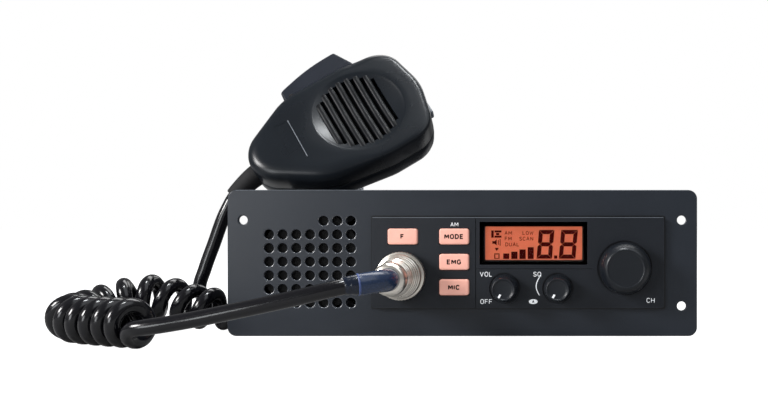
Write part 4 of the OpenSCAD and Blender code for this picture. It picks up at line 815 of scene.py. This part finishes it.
def ribbon(line, half, y):
    """Points and faces of a flat stroke along (x, z) points, mitred at its bends."""
    p = [Vector(q) for q in line]
    loop = (p[0] - p[-1]).length < 1e-6
    pts = []
    for i, q in enumerate(p):
        before = p[i] - p[i - 1] if i else (p[0] - p[-2] if loop else p[1] - p[0])
        after = p[i + 1] - p[i] if i < len(p) - 1 else (p[1] - p[0] if loop else before)
        a, b = before.normalized(), after.normalized()
        n0, n1 = Vector((-a.y, a.x)), Vector((-b.y, b.x))
        m = half * (n0 + n1) / max(1 + n0.dot(n1), 0.25)
        for side, depth in ((m, -0.02), (-m, -0.02), (-m, 0.02), (m, 0.02)):
            pts.append((q.x + side.x, y + depth, q.y + side.y))
    return pts, grid_faces(len(p), 4, not loop)


def words(name, text, x, y, z, size, mat, body, slot, bold=0.2, wide=1.0):
    """Plain capitals of flat strokes facing the front, centred on x, z; bold is the stroke's share of the height."""
    k = size * (1 - bold) / GLYPH_H
    spans = [max(q[0] for line in GLYPHS[c] for q in line) for c in text]
    gap = 1.5 + GLYPH_H * bold
    at = -(sum(spans) + gap * (len(text) - 1)) / 2
    strokes = []
    for c, span in zip(text, spans):
        for line in GLYPHS[c]:
            path = [(x + (at + u) * k * wide, z + (v - GLYPH_H / 2) * k) for u, v in line]
            strokes.append(ribbon(path, bold * size / 2, y))
        at += span + gap
    return piece(name, *joined(strokes), mat, body, slot, (), 30)


for name, x, z, text in KEYS:
    pts, faces = prism(x, z, KEY_W, KEY_H, 0.95, KEY_LEVELS)
    piece(f"{name}_key_cap", pts, faces, "key", f"{name}_button", "key_plastic", (f"{name}_key",), 50)
    words(f"{name}_key_legend", text, x, -3.815, z, 2.0, "print", f"{name}_button", "key_plastic", 0.23, 1.05)
    # Sheet behind the gap round each key: painted shade.
    pts, faces = prism(x, z, KEY_W + 0.6, KEY_H + 0.6, 1.1, [(-0.9, 0), (-0.4, 0)])
    piece(f"{name}_key_gap_shade", pts, faces, "halo", "radio", "front_plastic")

# Display: black frame, dark segments, bars and small marks on the lit panel


def flat_plate(name, polygons, y0, y1, mat, body, slot):
    """Thin plates from outlines of (x, z) points, between two planes."""
    parts = []
    for poly in polygons:
        pts = [(x, y, z) for y in (y0, y1) for x, z in poly]
        parts.append((pts, grid_faces(2, len(poly))))
    return piece(name, *joined(parts), mat, body, slot, (), 30)


def frame_ring(name, x, z, outer, inner, levels, mat, body, slot):
    """Flat ring between two round-cornered rectangles (w, h, r)."""
    pts, faces = [], []
    rows = [(outer, levels[0]), (outer, levels[1]), (inner, levels[1]), (inner, levels[0])]
    for (w, h, r), y in rows:
        pts += [(x + a, y, z + b) for a, b in round_rect(w, h, r)]
    n = CORNER_POINTS
    for i in range(4):
        for k in range(n):
            a, b = i * n + k, i * n + (k + 1) % n
            c, d = (i + 1) % 4 * n + (k + 1) % n, (i + 1) % 4 * n + k
            faces.append((a, b, c, d))
    return piece(name, pts, faces, mat, body, slot, (), 30)


LCD_X, LCD_Y, FRAME_Z = 28.6, -0.6, 37.2
frame_ring("display_frame", LCD_X, FRAME_Z, (42.4, 16.6, 0.8), (38.8, 13.4, 0.4), (-1.0, -0.72), "frame", "radio",
           "lcd_glass")


def digit(x0, x1, z0, z1, thick=1.65, slant=0.09, gap=0.06):
    """The seven bars of an eight, leaning to the right."""
    h = z1 - z0
    w = x1 - x0 - slant * h
    m, t, g = h / 2, thick, gap
    bars = [
        [(g, h), (w - g, h), (w - g - t, h - t), (g + t, h - t)],
        [(g + t, t), (w - g - t, t), (w - g, 0), (g, 0)],
        [(g + t / 2, m), (g + t, m + t / 2), (w - g - t, m + t / 2), (w - g - t / 2, m), (w - g - t, m - t / 2),
         (g + t, m - t / 2)],
        [(0, h - g), (t, h - t - g), (t, m + t / 2 + g), (t / 2, m + g), (0, m + t / 2)],
        [(0, g), (t, t + g), (t, m - t / 2 - g), (t / 2, m - g), (0, m - t / 2)],
        [(w, h - g), (w - t, h - t - g), (w - t, m + t / 2 + g), (w - t / 2, m + g), (w, m + t / 2)],
        [(w, g), (w - t, t + g), (w - t, m - t / 2 - g), (w - t / 2, m - g), (w, m - t / 2)],
    ]
    return [[(x0 + a + slant * b, z0 + b) for a, b in bar] for bar in bars]


def box2(x0, x1, z0, z1):
    """Outline of a rectangle."""
    return [(x0, z0), (x1, z0), (x1, z1), (x0, z1)]


marks = digit(29.7, 36.9, 31.0, 42.5) + digit(38.6, 46.3, 31.0, 42.5)
speaker_sign = [(12.0, 37.0), (12.9, 37.0), (13.8, 36.3), (13.8, 38.7), (12.9, 38.0), (12.0, 38.0)]
arrow = [(13.0, 35.3), (14.6, 35.3), (13.8, 34.0)]
for x0, x1, z0, z1 in (
    (36.75, 38.05, 31.0, 32.3), (16.4, 18.8, 30.9, 33.1), (19.6, 22.1, 30.9, 33.8), (22.9, 25.4, 30.9, 34.7),
    (26.2, 28.6, 30.9, 35.6), (11.6, 12.6, 39.4, 42.3), (12.9, 15.7, 41.5, 42.3), (12.9, 15.7, 39.4, 40.2),
    (13.5, 14.8, 40.4, 41.3), (14.3, 14.6, 36.6, 38.4), (15.0, 15.3, 36.2, 38.8), (12.8, 14.9, 32.7, 33.1),
    (12.8, 13.2, 31.0, 32.7), (14.5, 14.9, 31.0, 32.7), (12.8, 14.9, 31.0, 31.3),
):
    marks.append(box2(x0, x1, z0, z1))
marks += [speaker_sign, arrow]
flat_plate("display_segments", marks, LCD_Y - 0.05, LCD_Y - 0.02, "segment", "radio", "lcd_glass")
DISPLAY_WORDS = [
    ("AM", 18.4, 41.3), ("LOW", 26.3, 41.3), ("FM", 18.4, 39.0), ("SCAN", 25.6, 39.0), ("DUAL", 20.0, 36.7),
]
for i, (text, x, z) in enumerate(DISPLAY_WORDS):
    words(f"display_mark_{i}", text, x, LCD_Y - 0.03, z, 1.55, "faint", "radio", "lcd_glass", 0.17)

# Printed marks on the front

FRONT_WORDS = [
    ("VOL", 9.7, 24.9, 1.85), ("SQ", 30.1, 24.9, 1.85), ("OFF", 9.8, 14.0, 1.85), ("CH", 75.2, 14.5, 1.9),
    ("AM", -2.9, 44.7, 1.6),
]
for i, (text, x, z, size) in enumerate(FRONT_WORDS):
    words(f"front_mark_{i}", text, x, BEZEL_Y - 0.02, z, size, "white", "radio", "front_plastic", 0.12)
bow = [(30.95 - 1.3 * math.sin(math.pi * i / 10), 23.7 - 7.2 * i / 10) for i in range(11)]
bracket = [(x - 0.17, z) for x, z in bow] + [(x + 0.17, z) for x, z in reversed(bow)]
OVAL_X, OVAL_Z = 28.5, 14.0
turns = [math.radians(a) for a in range(0, 360, 15)]
oval = [(OVAL_X + 1.75 * math.cos(a), OVAL_Z + 0.95 * math.sin(a)) for a in turns]
flat_plate("front_bracket", [bracket, oval], BEZEL_Y - 0.05, BEZEL_Y - 0.01, "white", "radio", "front_plastic")
words("front_oval_mark", "A", OVAL_X, BEZEL_Y - 0.07, OVAL_Z, 1.15, "front", "radio", "front_plastic", 0.2)

# Pressed edges of the panel's holes, painted paler as a highlight; painted highlight lines on the top edges of the
# panel and the plastic front; a dark painted shadow line round the plastic front

PANEL_Y, LIP = -1.0, 0.45
LIP_TURNS = (4, 20, 36, 52, 68, 86)


def hole_edge(x, z, r, n=32):
    """Points and faces of a hole's rounded mouth."""
    pts = []
    for t in LIP_TURNS:
        t = math.radians(t)
        radius, y = r + LIP - (LIP + 0.02) * math.sin(t), LIP - (LIP + 0.02) * math.cos(t)
        pts += [(x + radius * c, PANEL_Y + y, z + radius * s) for c, s in circle(n)]
    return pts, grid_faces(len(LIP_TURNS), n, False)


HOLE_R, HOLE_PITCH, HOLE_N, TOP_N = 1.95, 5.46, 7, 3
SPEAKER_X, SPEAKER_Z = -61, 29.8
edges = []
for i in range(HOLE_N):
    for j in range(HOLE_N):
        if j < HOLE_N - 1 or i >= HOLE_N - TOP_N:
            x, z = SPEAKER_X + (i - HOLE_N // 2) * HOLE_PITCH, SPEAKER_Z + (j - HOLE_N // 2) * HOLE_PITCH
            edges.append(hole_edge(x, z, HOLE_R))
piece("grille_hole_edges", *joined(edges), "lip", "radio", "panel_paint", (), 60)
panel_skin, bezel_skin = (PANEL_Y - 0.03, PANEL_Y + 0.1), (BEZEL_Y - 0.03, BEZEL_Y + 0.1)
# Pale strip on the panel's top edge: a painted highlight line.
flat_plate("panel_top_highlight", [box2(-90.6, 90.6, 58.28, 58.5)], *panel_skin, "edge", "radio", "panel_paint")
# Dark ring on the panel round the plastic front: a painted shadow line in the gap.
frame_ring("front_shadow_line", 22.4, 29.5, (117.7, 37.5, 0.9), (116.2, 36.0, 0.5), panel_skin, "frame", "radio",
           "front_plastic")
# Pale strip on the plastic front's top edge: a painted highlight line.
flat_plate("front_top_highlight", [box2(-35.5, 80.3, 47.35, 47.58)], *bezel_skin, "edge", "radio", "front_plastic")

# Plug: knurled ring and stepped coupling nut, ribbed barrel, and the blue boot with its ring, coloured pale as a
# painted highlight

PLUG_X, PLUG_Z, KNURLS, KNURL = -23.7, 24.3, 48, 0.35
nut_profile = [
    (6.2, -18.8), (7.0, -18.8), (7.25, -18.55), (7.3, -17.5), (7.05, -17.2), (7.05, -16.9), (7.65, -16.6),
    (7.75, -15.5), (7.5, -15.2), (7.5, -14.9), (8.05, -14.6), (8.15, -13.2), (7.9, -12.9), (7.9, -12.6),
    (8.5, -12.3), (8.7, -11.0), (8.75, -9.0), (8.5, -8.6), (8.5, -8.2), (9.45, -7.9), (9.7, -7.5), (9.7, -6.4),
    (9.7, -5.3), (9.5, -4.9), (6.2, -4.8),
]
pts, faces = lathe(nut_profile, PLUG_X, PLUG_Z, 192)
knurled = fluted(pts, PLUG_X, PLUG_Z, KNURLS, KNURL, -7.6, -5.2, 8.8)
piece("coupling_nut_shell", knurled, faces, "nickel", "coupling_nut", "nickel", ("plug_coupling_nut",), 28)
barrel_profile = [
    (0.01, -33.0), (4.5, -33.0), (5.15, -32.85), (5.65, -32.45), (6.05, -31.7), (6.3, -30.6), (6.4, -29.2),
    (6.4, -27.3), (6.15, -27.0), (6.15, -26.6), (6.55, -26.3), (6.65, -25.4), (6.4, -25.1), (6.4, -24.7),
    (6.75, -24.4), (6.85, -23.4), (6.6, -23.1), (6.6, -22.7), (6.95, -22.4), (7.05, -21.3), (6.8, -21.0),
    (6.8, -18.6), (0.01, -18.6),
]
pts, faces = lathe(barrel_profile, PLUG_X, PLUG_Z, 96)
piece("plug_barrel_shell", pts, faces, "nickel", "radio", "nickel", ("plug_barrel",), 28)
boot_line = spline(BOOT_ROUTE)
RING_AT, BOOT_SIDES = 33, 32
boot_radii = [4.35 - 0.6 * i / (len(boot_line) - 1) for i in range(len(boot_line))]
pts, faces = tube(boot_line[: RING_AT + 1], boot_radii[: RING_AT + 1], BOOT_SIDES)
piece("plug_boot_sleeve", pts, faces, "boot", "radio", "boot_rubber", ("plug_boot",), 50)
tail_line = boot_line[RING_AT:] + [boot_line[-1].lerp(Vector(PLUG_ROUTE[1]), f) for f in (0.2, 0.4, 0.5)]
tail_radii = [3.75 - 0.45 * i / (len(tail_line) - 1) for i in range(len(tail_line))]
tail_radii[-2:] = [3.2, 2.95]
piece("plug_boot_tail", *tube(tail_line, tail_radii, BOOT_SIDES), "tail", "radio", "boot_rubber", (), 50)
end, ahead = boot_line[RING_AT], (boot_line[RING_AT + 1] - boot_line[RING_AT - 1]).normalized()
ring_line = [end + ahead * s for s in (-0.5, -0.4, -0.2, 0.1, 0.3, 0.4)]
ring_radii = [3.6, 3.9, 4.02, 4.02, 3.9, 3.5]
# The ring's pale colour is a painted highlight.
piece("plug_boot_ring", *tube(ring_line, ring_radii, BOOT_SIDES), "ring", "radio", "boot_rubber", (), 50)

# Screw heads with cross recesses, thread and rivets of the antenna socket


def screw_heads(name, places, r, body):
    """Domed heads with cross recesses on the plain heads; places are (top of the plain head, axis)."""
    domes, cuts, floors = [], [], []
    arm, half = 0.6 * r, 0.13 * r
    plus = [(arm, half), (half, half), (half, arm), (-half, arm), (-half, half), (-arm, half), (-arm, -half),
            (-half, -half), (-half, -arm), (half, -arm), (half, -half), (arm, -half)]
    for at, axis in places:
        domes.append(turned([(0.01, -0.1), (r, -0.1), (r, 0.1), (r * 0.95, 0.25), (r * 0.78, 0.42), (r * 0.45, 0.54),
                             (0.01, 0.6)], at, axis, 32))
        a, side, up = axes(axis)
        for out, lo, hi in ((cuts, 0.06, 1.5), (floors, 0.0, 0.07)):
            pts = [tuple(Vector(at) + h * a + u * side + v * up) for h in (lo, hi) for u, v in plus]
            out.append((pts, grid_faces(2, len(plus))))
    heads = piece(name + "_heads", *joined(domes), "bright", body, "steel", (), 30)
    carve(heads, cuts, 30)
    # Dark crosses at the bottoms of the cross recesses: painted shade.
    piece(name + "_recess_shade", *joined(floors), "frame", body, "steel", (), 30)


HEAD_R = 2.75
housing = [((sx * 86.2, y, 49.25), (sx, 0, 0)) for sx in (-1, 1) for y in (18, 60, 108)]
housing += [((sx * 77, 125.8, z), (0, 1, 0)) for sx in (-1, 1) for z in (10.75, 46.55)]
housing += [((-62.5 + dx, 72.35, 57.05), (0, 0, 1)) for dx in (-4.5, 4.5)]
screw_heads("housing_screw", housing, HEAD_R, "radio")
screw_heads("mic_screw", [(on_mic(u, v, -MIC_T + 0.4), -OUT) for u, v in MIC_SCREWS], HEAD_R, "microphone")

ANTENNA_X, ANTENNA_Z = 64, 29.25
THREAD_R, THREAD_H, THREAD_Y, THREAD_PITCH, THREAD_TURNS, THREAD_N = 7.9, 0.4, 126.2, 1.06, 10, 64
pts, faces = [], []
rows = 2 * THREAD_TURNS + 1
for i in range(rows):
    r = THREAD_R + (THREAD_H if i % 2 else 0.0)
    for k, (c, s) in enumerate(circle(THREAD_N)):
        pts.append((ANTENNA_X + r * c, THREAD_Y + THREAD_PITCH * (i / 2 + k / THREAD_N), ANTENNA_Z + r * s))
for i in range(rows - 1):
    for k in range(THREAD_N):
        if k < THREAD_N - 1:
            b, c = i * THREAD_N + k + 1, (i + 1) * THREAD_N + k + 1
        elif i + 3 < rows:
            b, c = (i + 2) * THREAD_N, (i + 3) * THREAD_N
        else:
            continue
        faces.append((i * THREAD_N + k, b, c, (i + 1) * THREAD_N + k))
piece("antenna_thread", pts, faces, "nickel", "radio", "nickel", (), 20)
rivet = [(0.01, -0.1), (1.9, -0.1), (1.9, 0.15), (1.6, 0.6), (1.0, 0.9), (0.01, 1.0)]
rivets = [
    turned(rivet, (ANTENNA_X + dx, 125.6, ANTENNA_Z + dz), (0, 1, 0), 24) for dx in (-9, 9) for dz in (-9, 9)
]
piece("antenna_rivets", *joined(rivets), "bright", "radio", "nickel", (), 30)

# Camera at the photograph's place, lights and the pale floor

camera = bpy.data.objects.new("camera", bpy.data.cameras.new("camera"))
bpy.context.collection.objects.link(camera)
VIEW_W, VIEW_H, AXIS_X, AXIS_Y, LENS = 768, 412, 575, 225, 46.875
camera.location = (0.04512, -0.401, 0.04448)
camera.rotation_euler = (math.radians(90), 0, 0)
camera.data.sensor_width = 36
camera.data.lens = LENS
camera.data.shift_x = (VIEW_W / 2 - AXIS_X) / VIEW_W
camera.data.shift_y = (AXIS_Y - VIEW_H / 2) / VIEW_W
camera.data.clip_start = 0.01
bpy.context.scene.camera = camera


def area(name, at, aim, size, watts, colour=(1, 1, 1)):
    """Soft rectangular lamp at a place, turned to a point."""
    d = bpy.data.lights.new(name, "AREA")
    d.shape = "RECTANGLE"
    d.size, d.size_y = size
    d.energy = watts
    d.color = colour
    o = bpy.data.objects.new(name, d)
    bpy.context.collection.objects.link(o)
    o.location = at
    o.rotation_euler = (Vector(aim) - Vector(at)).to_track_quat("-Z", "Y").to_euler()


area("key_lamp", (-0.9, -0.55, 0.5), (-0.05, 0.0, 0.05), (0.35, 0.3), 11, (1.0, 0.98, 0.97))
area("fill_lamp", (0.6, -0.45, 1.0), (0.0, 0.0, 0.05), (1.0, 1.0), 4, (0.92, 0.96, 1.0))
area("high_lamp", (-0.02, -0.14, 0.97), (-0.05, 0.03, 0.09), (0.2, 0.1), 3.6, (0.95, 0.98, 1.0))
area("front_lamp", (-0.56, -0.85, 0.14), (-0.05, 0.0, 0.04), (0.35, 0.3), 2.2, (0.95, 0.98, 1.0))
area("top_lamp", (0.05, 0.45, 0.85), (0.0, 0.02, 0.05), (0.8, 0.3), 4)
area("back_lamp", (0.3, 1.0, 0.6), (0.0, 0.1, 0.05), (0.7, 0.5), 2.5)


def seen_directly(t):
    """1 for rays from the camera, else 0."""
    return add(t, "ShaderNodeLightPath").outputs["Is Camera Ray"]


world = bpy.data.worlds.new("studio")
bpy.context.scene.world = world
world.use_nodes = True
sky = world.node_tree.nodes["Background"]
sky.inputs["Color"].default_value = (1, 1, 1, 1)
world.node_tree.links.new(spread(world.node_tree, seen_directly(world.node_tree), 0.22, 1.0), sky.inputs["Strength"])

floor_m, t, p = nodes_of("floor_paper")
p.inputs["Base Color"].default_value = (0.35, 0.35, 0.35, 1)
p.inputs["Roughness"].default_value = 0.9
p.inputs["Specular IOR Level"].default_value = 0.0
p.inputs["Emission Color"].default_value = (1, 1, 1, 1)
t.links.new(spread(t, seen_directly(t), 0.0, 1.0), p.inputs["Emission Strength"])
floor_mesh = bpy.data.meshes.new("floor")
floor_mesh.from_pydata([(-8, -8, 0), (8, -8, 0), (8, 8, 0), (-8, 8, 0)], [], [(0, 1, 2, 3)])
floor_mesh.materials.append(floor_m)
floor = bpy.data.objects.new("floor", floor_mesh)
floor.location.z = -0.0002
bpy.context.collection.objects.link(floor)

bpy.context.scene.view_settings.view_transform = "Standard"

# Carried-over CAD pieces: materials, softened edges

CAD_LOOKS = {
    "panel": ["front_panel"],
    "bright": ["housing_screws", "mic_screws", "volume_shaft", "squelch_shaft", "channel_shaft"],
    "zinc": ["speaker_basket", "rf_shield", "volume_pot", "squelch_pot", "channel_encoder", "mic_holder"],
    "cloth": ["speaker_cloth", "mic_felt"],
    "paper": ["speaker_cone"],
    "magnet": ["speaker_magnet"],
    "front": ["front_bezel"],
    "window": ["display_window"],
    "lcd": ["lcd_panel"],
    "guide": ["backlight_block"],
    "key": ["function_key", "upper_key", "middle_key", "lower_key"],
    "black": ["key_switches", "socket_insert", "dc_inlet", "ptt_pin"],
    "board": ["front_board", "main_board", "mic_board"],
    "knob": ["volume_knob", "squelch_knob", "channel_knob"],
    "nickel": ["mic_socket", "socket_nut", "antenna_socket", "ext_speaker_jack", "mic_capsule", "hang_stud",
               "plug_barrel", "plug_coupling_nut"],
    "sheet": ["bottom_chassis", "top_cover"],
    "sink": ["rear_heat_sink", "panel_studs", "panel_nuts", "speaker_washers"],
    "rubber": ["rubber_feet", "mic_strain_relief"],
    "mic": ["mic_front_shell", "mic_back_shell", "ptt_lever"],
    "button": ["mic_up_button", "mic_down_button"],
    "boot": ["plug_boot"],
    "cord": ["plug_lead", "curly_cord", "mic_lead"],
}
SOFT_EDGES = {
    "front_panel": 0.45, "front_bezel": 0.4, "bottom_chassis": 0.25, "top_cover": 0.25, "rear_heat_sink": 0.25,
    "rubber_feet": 0.6, "antenna_socket": 0.3, "ext_speaker_jack": 0.3, "dc_inlet": 0.3, "mic_holder": 0.3,
    "mic_socket": 0.2, "hang_stud": 0.3,
}
for look, names in CAD_LOOKS.items():
    for name in names:
        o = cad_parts[name]
        o.data.materials.clear()
        o.data.materials.append(M[look])
        finish_mesh(o.data, 30)
        if name in SOFT_EDGES:
            w = o.modifiers.new("joined_faces", "WELD")
            w.merge_threshold = 1e-6
            d = o.modifiers.new("plain_faces", "DECIMATE")
            d.decimate_type, d.angle_limit = "DISSOLVE", math.radians(0.5)
            soften(o, SOFT_EDGES[name], 2)
            if name == "front_panel":
                o.modifiers["soft_edges"].use_clamp_overlap = False
                o.modifiers["soft_edges"].loop_slide = False
            n = o.modifiers.new("even_faces", "WEIGHTED_NORMAL")
            n.mode, n.weight, n.keep_sharp = "FACE_AREA", 100, False
